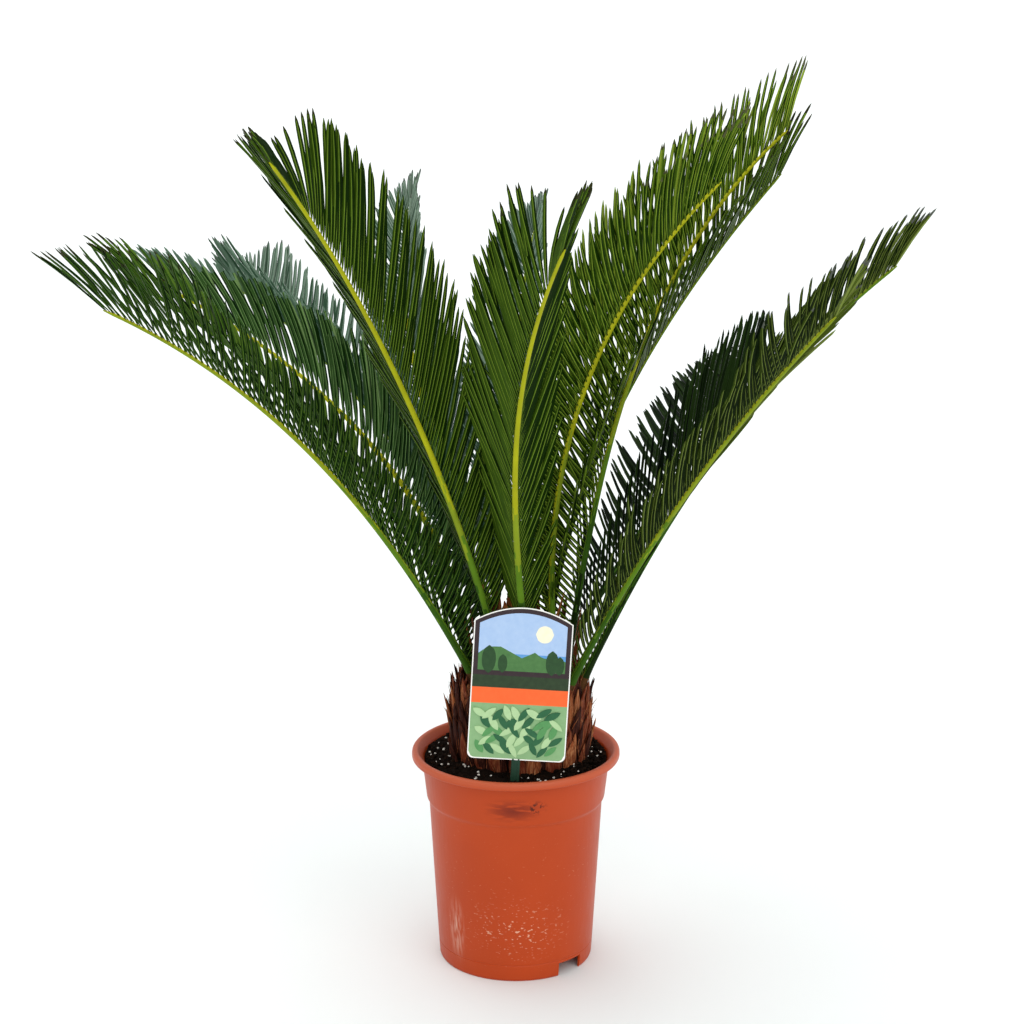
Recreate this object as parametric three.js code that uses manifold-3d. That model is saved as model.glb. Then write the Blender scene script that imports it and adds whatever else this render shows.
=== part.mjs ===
// A sago palm, which is a cycad, growing in a plastic nursery pot.
//
// Millimetres, +Z up. The origin is the centre of the pot's flat underside, on the floor.
// The plant label stands at the front, -Y, and +X is to the right.

import * as THREE from "three";
import { mergeVertices } from "three/addons/utils/BufferGeometryUtils.js";
import Module from "manifold-3d";

const wasm = await Module();
wasm.setup();

const { degToRad, lerp, smoothstep } = THREE.MathUtils;

// Clearance between solids that touch on the real plant.
const GAP = 0.3;

// Pot: a thin wall with a rolled rim, a wider collar below it, and a floor whose outer ring is
// raised, so that water drains through the notches in the foot.
const POT_HEIGHT = 180;
const POT_RIM_RADIUS = 85;
const POT_RIM_DEPTH = 6.5;
const POT_MOUTH_RADIUS = 80.5;
const POT_COLLAR_TOP_RADIUS = 76.8;
const POT_COLLAR_FOOT_RADIUS = 73;
const POT_COLLAR_FOOT_HEIGHT = 140;
const POT_BODY_TOP_RADIUS = 71;
const POT_FOOT_RADIUS = 63.2;
const POT_WALL = 1.8;
const POT_FLOOR = 2;
const POT_FLOOR_RISE = 12;
const POT_DISC_RADIUS = 40;
const POT_DISC_SLOPE = 3;
const POT_FACETS = 40;
const NOTCH_WIDTH = 24;
const NOTCH_HEIGHT = 11.5;
const NOTCH_AZIMUTHS = [-45, 135];

// Peat that fills the pot.
const SOIL_TOP = 173;

// Trunk: stout, covered in the stubs of old leaf bases, with a domed crown. Its middle lies a
// little to the right of the pot's axis, and leans that way.
const TRUNK_FOOT = SOIL_TOP + GAP;
const TRUNK_FOOT_RADIUS = 55;
const TRUNK_RADIUS = 57;
const CROWN_TOP = 262;
const CROWN_FALL = 46;
const CROWN_RADIUS = 60;
const TRUNK_FOOT_X = 3.5;
const CROWN_X = 5;
const TRUNK_FACETS = 24;
const STUB_ROWS = 4;
const STUBS_PER_ROW = 12;
const STUB_LENGTH = 30;
const STUB_WIDTH = 13;
const STUB_DEPTH = 7;
const STUB_LEANS = [8, -6];
const TOP_STUB_HEIGHT = 206;
const SHEATH_RINGS = [10, 32, 48];
const SHEATHS_PER_RING = [3, 7, 9];
const SHEATH_LENGTH = 46;
const SHEATH_WIDTH = 9;
const SHEATH_DEPTH = 4;

// Plant label: an arched plastic card on a stake that is pushed into the peat.
const LABEL_WIDTH = 78;
const LABEL_SHOULDER = 113;
const LABEL_ARCH = 12;
const LABEL_CORNER = 5;
const LABEL_THICKNESS = 0.8;
const LABEL_FOOT = 193.5;
const LABEL_Y = -66;
const LABEL_TILT = 3.3;
const LABEL_RECLINE = 3;
const STAKE_WIDTH = 7;
const STAKE_LENGTH = 45;

// Fronds. seat is where the stem leaves the crown, as an azimuth and a distance from the crown's
// middle. heading is the azimuth that it grows towards, and swing how far that turns on the way.
// lean is its angle from the vertical at the foot and at the tip, and bend how late it arches.
// roll turns the blade about the stem, and vee lifts the leaflets out of the blade. leaflet is the
// longest leaflet's length and tip the share of it that is left at the tip. fold is the place past
// which the leaflets are still half shut, their angle from the stem there, and how far along the
// stem before and after it they shut.
const FRONDS = [
  { name: "frond_front", seat: [280, 24], heading: 259, swing: 27, lean: [14, 51],
    bend: 0.41, length: 524, roll: 1, vee: 65, leaflet: 106, tip: 0.66,
    fold: [0.905, 12, 0.02] },
  { name: "frond_front_left", seat: [232, 25], heading: 232, swing: 26, lean: [21, 62],
    bend: 1.2, length: 602, roll: 21, vee: 62, leaflet: 114, tip: 0.5,
    fold: [0.85, 9, 0.04] },
  { name: "frond_front_right", seat: [322, 37], heading: 303, swing: 41, lean: [-13, 44],
    bend: 0.85, length: 449, roll: 18, vee: 51, leaflet: 102, tip: 0.62,
    fold: [0.95, 30, 0.08] },
  { name: "frond_right_tall", seat: [347, 37], heading: 328, swing: 35, lean: [9, 48],
    bend: 2.25, length: 486, roll: -22, vee: 58, leaflet: 98, tip: 0.6,
    fold: [0.97, 38, 0.12] },
  { name: "frond_left_low", seat: [206, 41], heading: 211, swing: -2, lean: [29, 62],
    bend: 1.48, length: 460, roll: 16, vee: 55, leaflet: 106, tip: 0.64,
    fold: [0.95, 20, 0.1] },
  { name: "frond_right_low", seat: [321, 46], heading: 325, swing: -13, lean: [27, 46],
    bend: 1.05, length: 425, roll: -3, vee: 24, leaflet: 88, tip: 0.6,
    fold: [0.95, 26, 0.1] },
  { name: "frond_right_wide", seat: [348, 48], heading: 348, swing: -11, lean: [24, 49],
    bend: 1.45, length: 440, roll: -13, vee: 20, leaflet: 91, tip: 0.58,
    fold: [0.9, 28, 0.1] },
  { name: "frond_left_upper", seat: [170, 47], heading: 183, swing: -9, lean: [-12, 63],
    bend: 0.58, length: 417, roll: 12, vee: 47, leaflet: 97, tip: 0.5,
    fold: [0.97, 22, 0.1] },
  { name: "frond_left_middle", seat: [187, 39], heading: 197, swing: -3, lean: [17, 57],
    bend: 0.89, length: 437, roll: -18, vee: 42, leaflet: 86, tip: 0.6,
    fold: [0.91, 20, 0.1] },
  { name: "frond_right_upper", seat: [14, 24], heading: 8, swing: -27, lean: [-5, 40],
    bend: 0.55, length: 445, roll: 29, vee: 42, leaflet: 97, tip: 0.6,
    fold: [0.92, 24, 0.1] },
  { name: "frond_back_left", seat: [140, 32], heading: 139, swing: -27, lean: [2, 92],
    bend: 0.53, length: 540, roll: 10, vee: 58, leaflet: 116, tip: 0.5,
    fold: [0.95, 22, 0.1] },
  { name: "frond_back_inner", seat: [117, 25], heading: 126, swing: -44, lean: [35, 67],
    bend: 0.8, length: 534, roll: -16, vee: 53, leaflet: 98, tip: 0.5,
    fold: [0.92, 20, 0.1] },
  { name: "frond_back", seat: [88, 27], heading: 96, swing: -16, lean: [28, 74],
    bend: 1, length: 505, roll: -15, vee: 54, leaflet: 93, tip: 0.5,
    fold: [0.87, 20, 0.1] },
  { name: "frond_back_right", seat: [46, 42], heading: 45, swing: 34, lean: [46, 95],
    bend: 1.15, length: 505, roll: -43, vee: 47, leaflet: 96, tip: 0.5,
    fold: [0.95, 22, 0.1] },
];
const STEM_BURIED = 30;
const STEM_FOOT_WIDTH = 8;
const STEM_TIP_WIDTH = 2.6;
const STEM_FOOT_DEPTH = 7.5;
const STEM_TIP_DEPTH = 2.4;
const PATH_STEPS = 80;
const LEAFLET_PAIRS = 40;
const FIRST_LEAFLET = 0.09;
const LONGEST_LEAFLET = 0.45;
const FOOT_LEAFLET_SHARE = 0.12;
const LEAFLET_ANGLES = [62, 42];
const FOLDED_VEE = 72;
const LEAFLET_ARC = 14;
const LEAFLET_WIDTH = 8;
const LEAFLET_WIDEST = 0.45;
const LEAFLET_DEPTH = 1.5;
const LEAFLET_SPREAD = 0.8;
const SHORTER_TRIES = [1, 0.75, 0.5];

// A closed geometry as a solid that can be joined and cut.
function solidOf(geometry) {
  const bare = geometry.index ? geometry.toNonIndexed() : geometry.clone();
  bare.deleteAttribute("normal");
  bare.deleteAttribute("uv");
  const merged = mergeVertices(bare, 1e-4);
  const vertProperties = new Float32Array(merged.attributes.position.array);
  const triVerts = new Uint32Array(merged.index.array);
  return new wasm.Manifold(new wasm.Mesh({ numProp: 3, vertProperties, triVerts }));
}

// The geometry of a solid's largest piece, which leaves out loose scraps.
function geometryOf(solid) {
  const pieces = solid.decompose();
  pieces.sort((a, b) => b.volume() - a.volume());
  const mesh = pieces[0].getMesh();
  const geometry = new THREE.BufferGeometry();
  geometry.setAttribute("position", new THREE.BufferAttribute(mesh.vertProperties, 3));
  geometry.setIndex(new THREE.BufferAttribute(mesh.triVerts, 1));
  return geometry;
}

// A profile of [radius, height] points turned about the Z axis. It starts and ends on the axis.
function turned(profile, facets) {
  const points = profile.map(([radius, height]) => new THREE.Vector2(radius, height));
  return new THREE.LatheGeometry(points, facets).rotateX(Math.PI / 2);
}

// A closed solid from its corners and the triangles between them, by corner number.
function solidFrom(corners, triangles) {
  const vertProperties = new Float32Array(corners.flatMap((corner) => corner.toArray()));
  const triVerts = new Uint32Array(triangles.flat());
  return new wasm.Manifold(new wasm.Mesh({ numProp: 3, vertProperties, triVerts }));
}

// The outline of the pot's inside, from the floor's middle up to the mouth, moved in by a margin.
function potInside(margin) {
  const floorRadius = POT_FOOT_RADIUS - POT_WALL + 0.4;
  const discTop = POT_FLOOR + margin;
  const ringTop = POT_FLOOR_RISE + POT_FLOOR + margin;
  return [
    [0, discTop],
    [POT_DISC_RADIUS - POT_WALL - margin, discTop],
    [POT_DISC_RADIUS + POT_DISC_SLOPE - POT_WALL - margin, ringTop],
    [floorRadius - margin, ringTop],
    [POT_BODY_TOP_RADIUS - POT_WALL - margin, POT_COLLAR_FOOT_HEIGHT - 4],
    [POT_COLLAR_FOOT_RADIUS - POT_WALL - margin, POT_COLLAR_FOOT_HEIGHT + 2],
  ];
}

// The radius of the pot's inside wall at the height of the soil.
function soilRadius() {
  const foot = POT_COLLAR_FOOT_HEIGHT + 2;
  const share = (SOIL_TOP - foot) / (POT_HEIGHT - POT_RIM_DEPTH - foot);
  return lerp(POT_COLLAR_FOOT_RADIUS, POT_COLLAR_TOP_RADIUS, share) - POT_WALL - GAP;
}

function pot() {
  const rimFoot = POT_HEIGHT - POT_RIM_DEPTH;
  const inside = potInside(0);
  const profile = [
    [0, 0],
    [POT_DISC_RADIUS, 0],
    [POT_DISC_RADIUS + POT_DISC_SLOPE, POT_FLOOR_RISE],
    [POT_FOOT_RADIUS - POT_WALL, POT_FLOOR_RISE],
    [POT_FOOT_RADIUS - POT_WALL, 0],
    [POT_FOOT_RADIUS - 0.8, 0],
    [POT_FOOT_RADIUS, 1.5],
    [POT_BODY_TOP_RADIUS, POT_COLLAR_FOOT_HEIGHT - 3],
    [POT_COLLAR_FOOT_RADIUS, POT_COLLAR_FOOT_HEIGHT],
    [POT_COLLAR_TOP_RADIUS, rimFoot],
    [POT_RIM_RADIUS - 0.8, rimFoot],
    [POT_RIM_RADIUS, rimFoot + 1],
    [POT_RIM_RADIUS, POT_HEIGHT - 1.5],
    [POT_RIM_RADIUS - 1.2, POT_HEIGHT],
    [POT_MOUTH_RADIUS, POT_HEIGHT],
    [POT_COLLAR_TOP_RADIUS - POT_WALL, rimFoot],
    ...inside.reverse(),
  ];
  let solid = solidOf(turned(profile, POT_FACETS));
  for (const azimuth of NOTCH_AZIMUTHS) {
    const notch = new THREE.BoxGeometry(NOTCH_WIDTH, NOTCH_WIDTH, 2 * NOTCH_HEIGHT);
    notch.translate(POT_FOOT_RADIUS, 0, 0);
    notch.rotateZ(degToRad(azimuth));
    solid = solid.subtract(solidOf(notch));
  }
  return solid;
}

function soil(label) {
  const profile = [
    ...potInside(GAP),
    [soilRadius(), SOIL_TOP],
    [0, SOIL_TOP],
  ];
  return solidOf(turned(profile, POT_FACETS)).subtract(label);
}

// Height of the crown's dome at a distance from its middle.
function crownHeight(distance) {
  return CROWN_TOP - CROWN_FALL * (distance / CROWN_RADIUS) ** 2;
}

// The trunk's middle moves right with height.
function trunkMiddle(height) {
  const share = (height - TRUNK_FOOT) / (CROWN_TOP - TRUNK_FOOT);
  return lerp(TRUNK_FOOT_X, CROWN_X, share);
}

// The trunk without its stubs, made larger all round by a margin.
function trunkCore(margin) {
  const dome = [50, 40, 30, 20, 10, 0].map((radius) => [radius, crownHeight(radius)]);
  const side = [
    [TRUNK_FOOT_RADIUS, TRUNK_FOOT],
    [TRUNK_RADIUS, TRUNK_FOOT + 8],
    [TRUNK_RADIUS, crownHeight(TRUNK_RADIUS) - 8],
    [TRUNK_RADIUS - 2, crownHeight(TRUNK_RADIUS - 2)],
  ];
  const grown = [...side, ...dome].map(([radius, height]) => [
    radius > 0 ? radius + margin : 0,
    height > TRUNK_FOOT ? height + margin : height,
  ]);
  const geometry = turned([[0, TRUNK_FOOT], ...grown], TRUNK_FACETS);
  const position = geometry.attributes.position;
  for (let i = 0; i < position.count; i += 1) {
    position.setX(i, position.getX(i) + trunkMiddle(position.getZ(i)));
  }
  return solidOf(geometry);
}

// A pointed scale that grows from a foot point, leaning out from the upright at an azimuth.
function scale(foot, azimuth, lean, length, width, depth, margin) {
  const out = new THREE.Vector3(Math.cos(azimuth), Math.sin(azimuth), 0);
  const along = new THREE.Vector3(0, 0, Math.cos(lean)).addScaledVector(out, Math.sin(lean));
  const across = new THREE.Vector3(-out.y, out.x, 0);
  const through = across.clone().cross(along);
  const scaleShape = new THREE.ConeGeometry(1, 1, 4);
  const position = scaleShape.attributes.position;
  for (let i = 0; i < position.count; i += 1) {
    const point = foot.clone();
    point.addScaledVector(across, position.getX(i) * (width / 2 + margin));
    point.addScaledVector(along, (position.getY(i) + 0.5) * (length + margin));
    point.addScaledVector(through, position.getZ(i) * (depth / 2 + margin));
    position.setXYZ(i, point.x, point.y, point.z);
  }
  return solidOf(scaleShape);
}

// The stubs of old leaf bases, in rows up the trunk, each row turned by half a stub. They lean out
// at its foot and in at its shoulder.
function stubPlaces() {
  const places = [];
  for (let row = 0; row < STUB_ROWS; row += 1) {
    const share = row / (STUB_ROWS - 1);
    const height = lerp(TRUNK_FOOT + 3, TOP_STUB_HEIGHT, share);
    for (let i = 0; i < STUBS_PER_ROW; i += 1) {
      const azimuth = ((i + (row % 2) / 2) * 2 * Math.PI) / STUBS_PER_ROW;
      places.push({
        foot: new THREE.Vector3(
          trunkMiddle(height) + TRUNK_RADIUS * Math.cos(azimuth),
          TRUNK_RADIUS * Math.sin(azimuth),
          height,
        ),
        azimuth,
        lean: degToRad(lerp(...STUB_LEANS, share)),
        length: STUB_LENGTH,
        width: STUB_WIDTH,
        depth: STUB_DEPTH,
      });
    }
  }
  return places;
}

// The long brown sheaths that stand among the stems on the crown, in rings.
function sheathPlaces() {
  const places = [];
  SHEATH_RINGS.forEach((distance, ring) => {
    const count = SHEATHS_PER_RING[ring];
    for (let i = 0; i < count; i += 1) {
      const azimuth = ((i + ring / 2) * 2 * Math.PI) / count;
      places.push({
        foot: new THREE.Vector3(
          CROWN_X + distance * Math.cos(azimuth),
          distance * Math.sin(azimuth),
          crownHeight(distance) - 8,
        ),
        azimuth,
        lean: degToRad(distance / 3),
        length: SHEATH_LENGTH,
        width: SHEATH_WIDTH,
        depth: SHEATH_DEPTH,
      });
    }
  });
  return places;
}

// The trunk with those of its stubs and sheaths that clear the solids around it.
function trunk(core, others) {
  const joined = [core];
  for (const place of [...stubPlaces(), ...sheathPlaces()]) {
    const { foot, azimuth, lean, length, width, depth } = place;
    const roomy = scale(foot, azimuth, lean, length, width, depth, 2 * GAP);
    if (!touches(roomy, others)) {
      joined.push(scale(foot, azimuth, lean, length, width, depth, 0));
    }
  }
  return wasm.Manifold.union(joined);
}

// The label's card and stake in one, made larger all round by a margin.
function plantLabel(margin) {
  const half = LABEL_WIDTH / 2 + margin;
  const corner = LABEL_CORNER;
  const card = new THREE.Shape();
  card.moveTo(-half + corner, -margin);
  card.lineTo(half - corner, -margin);
  card.quadraticCurveTo(half, -margin, half, corner);
  card.lineTo(half, LABEL_SHOULDER);
  card.quadraticCurveTo(0, LABEL_SHOULDER + 2 * (LABEL_ARCH + margin), -half, LABEL_SHOULDER);
  card.lineTo(-half, corner);
  card.quadraticCurveTo(-half, -margin, -half + corner, -margin);
  const stakeHalf = STAKE_WIDTH / 2 + margin;
  const stake = new THREE.Shape();
  stake.moveTo(-stakeHalf, LABEL_CORNER);
  stake.lineTo(-stakeHalf, 8 - STAKE_LENGTH);
  stake.lineTo(0, -STAKE_LENGTH - margin);
  stake.lineTo(stakeHalf, 8 - STAKE_LENGTH);
  stake.lineTo(stakeHalf, LABEL_CORNER);
  const depth = LABEL_THICKNESS + 2 * margin;
  const options = { depth, bevelEnabled: false, curveSegments: 5 };
  const parts = [card, stake].map((shape) => {
    const geometry = new THREE.ExtrudeGeometry(shape, options);
    geometry.translate(0, 0, -depth / 2);
    geometry.rotateZ(degToRad(-LABEL_TILT));
    geometry.rotateX(Math.PI / 2 - degToRad(LABEL_RECLINE));
    geometry.translate(0, LABEL_Y, LABEL_FOOT);
    return solidOf(geometry);
  });
  return parts[0].add(parts[1]);
}

// The directions of a frond at a share of its length: along the stem, out of the blade's upper
// face, and across the blade.
function frondFrame(frond, share) {
  const lean = degToRad(lerp(frond.lean[0], frond.lean[1], share ** frond.bend));
  const heading = degToRad(frond.heading + frond.swing * share);
  const out = new THREE.Vector3(Math.cos(heading), Math.sin(heading), 0);
  const along = new THREE.Vector3(0, 0, Math.cos(lean)).addScaledVector(out, Math.sin(lean));
  const face = new THREE.Vector3(0, 0, Math.sin(lean)).addScaledVector(out, -Math.cos(lean));
  face.applyAxisAngle(along, degToRad(frond.roll));
  const side = along.clone().cross(face);
  return { along, face, side };
}

// Points along the middle of a frond's stem, one small step apart, from its seat on the crown.
function stemPath(frond) {
  const [azimuth, distance] = frond.seat;
  const point = new THREE.Vector3(
    CROWN_X + distance * Math.cos(degToRad(azimuth)),
    distance * Math.sin(degToRad(azimuth)),
    crownHeight(distance),
  );
  const points = [point.clone()];
  for (let i = 0; i < PATH_STEPS; i += 1) {
    const { along } = frondFrame(frond, (i + 0.5) / PATH_STEPS);
    point.addScaledVector(along, frond.length / PATH_STEPS);
    points.push(point.clone());
  }
  return points;
}

// A point on a path at a share of its length.
function pathPoint(path, share) {
  const place = Math.min(share * PATH_STEPS, PATH_STEPS - 1e-6);
  const i = Math.floor(place);
  return path[i].clone().lerp(path[i + 1], place - i);
}

// The share of the stem's length at which a pair of leaflets starts.
function leafletPlace(pair) {
  return lerp(FIRST_LEAFLET, 1, pair / LEAFLET_PAIRS);
}

// The corners of the stem's section round a point: the ridge on its upper face, then the edges
// below it on the two sides.
function sectionCorners(frond, middle, share) {
  const { face, side } = frondFrame(frond, share);
  const width = lerp(STEM_FOOT_WIDTH, STEM_TIP_WIDTH, share ** 0.6);
  const depth = lerp(STEM_FOOT_DEPTH, STEM_TIP_DEPTH, share ** 0.6);
  const low = middle.clone().addScaledVector(face, -depth / 3);
  return [
    middle.clone().addScaledVector(face, (2 * depth) / 3),
    low.clone().addScaledVector(side, width / 2),
    low.clone().addScaledVector(side, -width / 2),
  ];
}

// The sections of a frond's stem: one inside the trunk, one at the seat, and one at the foot of
// each pair of leaflets and at the tip.
function stemSections(frond) {
  const path = stemPath(frond);
  const { along } = frondFrame(frond, 0);
  const buried = path[0].clone().addScaledVector(along, -STEM_BURIED);
  const sections = [sectionCorners(frond, buried, 0), sectionCorners(frond, path[0], 0)];
  for (let pair = 0; pair <= LEAFLET_PAIRS; pair += 1) {
    const share = leafletPlace(pair);
    sections.push(sectionCorners(frond, pathPoint(path, share), share));
  }
  return sections;
}

// A leaflet's length, as a share of the longest one on its frond.
function leafletShare(frond, share) {
  if (share < LONGEST_LEAFLET) {
    return 1 - (1 - FOOT_LEAFLET_SHARE) * (1 - share / LONGEST_LEAFLET) ** 1.6;
  }
  const past = (share - LONGEST_LEAFLET) / (1 - LONGEST_LEAFLET);
  return 1 - (1 - frond.tip) * past ** 1.8;
}

// The four outer corners of a leaflet, which grows from the stem's edge between two sections and
// bends towards the frond's tip: its ridge and its two edges where it is widest, and its point.
function leafletCorners(frond, sections, pair, row, reach, margin) {
  const share = leafletPlace(pair + 0.5);
  const { along, face, side } = frondFrame(frond, share);
  const [foldPlace, foldedAngle, foldSpread] = frond.fold;
  const shut = smoothstep(share, foldPlace - foldSpread, foldPlace + foldSpread);
  const angle = lerp(lerp(...LEAFLET_ANGLES, share), foldedAngle, shut);
  const rise = degToRad(lerp(frond.vee, FOLDED_VEE, shut));
  const outward = side.clone().multiplyScalar(row * Math.cos(rise));
  outward.addScaledVector(face, Math.sin(rise));
  const length = frond.leaflet * leafletShare(frond, share) * reach;
  const spacing = (frond.length * (1 - FIRST_LEAFLET)) / LEAFLET_PAIRS;
  const room = LEAFLET_SPREAD * spacing * Math.sin(degToRad(angle));
  const halfWidth = Math.min(LEAFLET_WIDTH, room) / 2 + margin;
  const headings = [0.25, 0.75].map((part) => {
    const bent = degToRad(angle - LEAFLET_ARC * part);
    const heading = along.clone().multiplyScalar(Math.cos(bent));
    return heading.addScaledVector(outward, Math.sin(bent));
  });
  const edge = row > 0 ? 1 : 2;
  const root = sections[pair + 2][edge].clone().lerp(sections[pair + 3][edge], 0.5);
  const across = along.clone().addScaledVector(headings[0], -along.dot(headings[0])).normalize();
  const up = headings[0].clone().cross(across).multiplyScalar(row);
  const widest = root.clone().addScaledVector(headings[0], length * LEAFLET_WIDEST);
  const rest = length * (1 - LEAFLET_WIDEST) + margin;
  const point = widest.clone().addScaledVector(headings[1], rest);
  const under = widest.clone().addScaledVector(up, -margin);
  return [
    widest.clone().addScaledVector(up, LEAFLET_DEPTH + margin),
    under.clone().addScaledVector(across, -halfWidth),
    under.clone().addScaledVector(across, halfWidth),
    point,
  ];
}

// Triangles of a pointed blade raised from a base triangle, by corner number.
function bladeTriangles(base, widest, point) {
  const triangles = [];
  for (let i = 0; i < 3; i += 1) {
    const next = (i + 1) % 3;
    triangles.push([base[i], base[next], widest[next]]);
    triangles.push([base[i], widest[next], widest[i]]);
    triangles.push([widest[i], widest[next], point]);
  }
  return triangles;
}

// The order of a leaflet's corners on each side of the stem, so that its faces point out. Corner 0
// is on the ridge, 1 on the edge towards the foot and 2 on the edge towards the tip.
function cornerOrder(row) {
  return row > 0 ? [0, 1, 2] : [1, 0, 2];
}

// A leaflet as a solid of its own, to see what it touches.
function leafletSolid(sections, pair, row, corners) {
  const edge = row > 0 ? 1 : 2;
  const base = [sections[pair + 2][0], sections[pair + 2][edge], sections[pair + 3][edge]];
  const order = cornerOrder(row);
  const widest = order.map((i) => i + 3);
  const triangles = bladeTriangles(order, widest, 6);
  triangles.push([order[0], order[2], order[1]]);
  return solidFrom([...base, ...corners], triangles);
}

// A frond in one closed surface: the stem's three sides, with a leaflet raised from a triangle of
// its side wherever there is one.
function frondSolid(sections, leaflets) {
  const corners = sections.flat();
  const last = 3 * (sections.length - 1);
  const triangles = [[0, 2, 1], [last, last + 1, last + 2]];
  for (let i = 0; i + 1 < sections.length; i += 1) {
    const [ridge, right, left] = [3 * i, 3 * i + 1, 3 * i + 2];
    const [nextRidge, nextRight, nextLeft] = [ridge + 3, right + 3, left + 3];
    triangles.push([right, left, nextLeft], [right, nextLeft, nextRight]);
    triangles.push([ridge, nextRight, nextRidge], [ridge, nextRidge, nextLeft]);
    for (const row of [1, -1]) {
      const base = row > 0 ? [ridge, right, nextRight] : [left, ridge, nextLeft];
      const leaflet = leaflets.find((one) => one.pair === i - 2 && one.row === row);
      if (leaflet) {
        const first = corners.length;
        corners.push(...leaflet.corners);
        const widest = cornerOrder(row).map((corner) => first + corner);
        triangles.push(...bladeTriangles(base, widest, first + 3));
      } else {
        triangles.push(base);
      }
    }
  }
  return solidFrom(corners, triangles);
}

function boxesMeet(a, b) {
  return [0, 1, 2].every((i) => a.min[i] <= b.max[i] && b.min[i] <= a.max[i]);
}

// Whether a solid reaches into any of the others.
function touches(solid, others) {
  const box = solid.boundingBox();
  return others.some((other) => {
    const near = boxesMeet(box, other.boundingBox());
    return near && !solid.intersect(other).isEmpty();
  });
}

// The leaflets of each frond that clear the other fronds and the solids round them. A leaflet
// that would touch one is tried shorter, and then left out.
function clearLeaflets(sections, stems, others) {
  const taken = stems.map((solid) => [solid]);
  const leaflets = FRONDS.map(() => []);
  for (let pair = 0; pair < LEAFLET_PAIRS; pair += 1) {
    FRONDS.forEach((frond, own) => {
      const obstacles = [...others, ...taken.filter((_, n) => n !== own).flat()];
      for (const row of [1, -1]) {
        const reach = SHORTER_TRIES.find((shorter) => {
          const corners = leafletCorners(frond, sections[own], pair, row, shorter, GAP);
          return !touches(leafletSolid(sections[own], pair, row, corners), obstacles);
        });
        if (reach) {
          const corners = leafletCorners(frond, sections[own], pair, row, reach, 0);
          leaflets[own].push({ pair, row, corners });
          taken[own].push(leafletSolid(sections[own], pair, row, corners));
        }
      }
    });
  }
  return leaflets;
}

function named(name, solid, material) {
  const mesh = new THREE.Mesh(geometryOf(solid), material);
  mesh.name = name;
  return mesh;
}

function finish(color, roughness) {
  return new THREE.MeshStandardMaterial({ color, roughness, metalness: 0, flatShading: true });
}

const terracottaPlastic = finish("#c0522d", 0.45);
const peat = finish("#1d1613", 0.95);
const fibrousBark = finish("#5a2d1c", 0.9);
const frondGreen = finish("#3a6b1d", 0.5);
const printedPlastic = finish("#6f8f62", 0.35);

const labelSolid = plantLabel(0);
const potSolid = pot();
const soilSolid = soil(plantLabel(GAP));
const core = trunkCore(0);
const roomyCore = trunkCore(GAP);
const sections = FRONDS.map(stemSections);
const stems = sections.map((own) => frondSolid(own, []));
const trunkSolid = trunk(core, [...stems, labelSolid]);
const leaflets = clearLeaflets(sections, stems, [trunkSolid, labelSolid, potSolid]);
const frondSolids = sections.map((own, i) => frondSolid(own, leaflets[i]).subtract(roomyCore));

const palm = new THREE.Group();
palm.name = "sago_palm";
palm.add(named("pot", potSolid, terracottaPlastic));
palm.add(named("soil", soilSolid, peat));
palm.add(named("trunk", trunkSolid, fibrousBark));
palm.add(named("plant_label", labelSolid, printedPlastic));
FRONDS.forEach((frond, i) => palm.add(named(frond.name, frondSolids[i], frondGreen)));

export default palm;
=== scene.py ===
"""A sago palm, which is a cycad, in a terracotta-coloured nursery pot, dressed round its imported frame.

Shapes are worked out in millimetres and go into their meshes in metres. +Z is up, the origin is the
centre of the pot's underside on the floor, and the plant label stands at the front, -Y.
"""

import math

import bpy
import numpy as np
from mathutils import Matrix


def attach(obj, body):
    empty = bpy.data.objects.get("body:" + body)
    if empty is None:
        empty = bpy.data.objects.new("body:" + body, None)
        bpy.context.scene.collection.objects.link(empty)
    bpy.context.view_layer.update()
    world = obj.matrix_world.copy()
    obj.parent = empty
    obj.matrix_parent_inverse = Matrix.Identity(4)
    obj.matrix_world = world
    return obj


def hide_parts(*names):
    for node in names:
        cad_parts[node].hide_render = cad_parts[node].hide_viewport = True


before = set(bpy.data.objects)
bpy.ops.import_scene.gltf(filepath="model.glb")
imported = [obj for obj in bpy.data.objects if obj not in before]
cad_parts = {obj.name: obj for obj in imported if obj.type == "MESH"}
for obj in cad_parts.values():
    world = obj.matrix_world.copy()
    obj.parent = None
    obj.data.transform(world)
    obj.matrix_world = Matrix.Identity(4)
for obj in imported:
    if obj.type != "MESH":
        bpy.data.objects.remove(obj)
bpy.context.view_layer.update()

MM = 0.001
UP = np.array([0.0, 0.0, 1.0])

# ---------------------------------------------------------------------------------------------
# Sizes in millimetres, the same as the solids'.

POT_HEIGHT = 180
RIM_RADIUS = 85
RIM_FOOT = 173.5
MOUTH_RADIUS = 80.5
COLLAR_TOP_RADIUS = 76.8
COLLAR_FOOT_RADIUS = 73
COLLAR_FOOT = 140
BODY_TOP_RADIUS = 71
FOOT_RADIUS = 63.2
WALL = 1.8
FLOOR = 2
FLOOR_RISE = 12
DISC_RADIUS = 40
RING_LINE = 14
NOTCH_HEIGHT = 11.5
NOTCH_AZIMUTHS = (-45, 135)

SOIL_TOP = 173
SOIL_RADIUS = 74.6
TRUNK_FOOT = 173.3
TRUNK_RADIUS = 57
TRUNK_FOOT_X = 3.5
CROWN_X = 5
CROWN_TOP = 262
CROWN_FALL = 46
CROWN_RADIUS = 60

LABEL_HALF = 39
LABEL_SHOULDER = 113
LABEL_ARCH = 12
LABEL_CORNER = 5
LABEL_THICKNESS = 0.8
LABEL_FOOT = (0, -66, 193.5)
LABEL_TILT = 3.3
LABEL_RECLINE = 3
STAKE_LENGTH = 45

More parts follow.
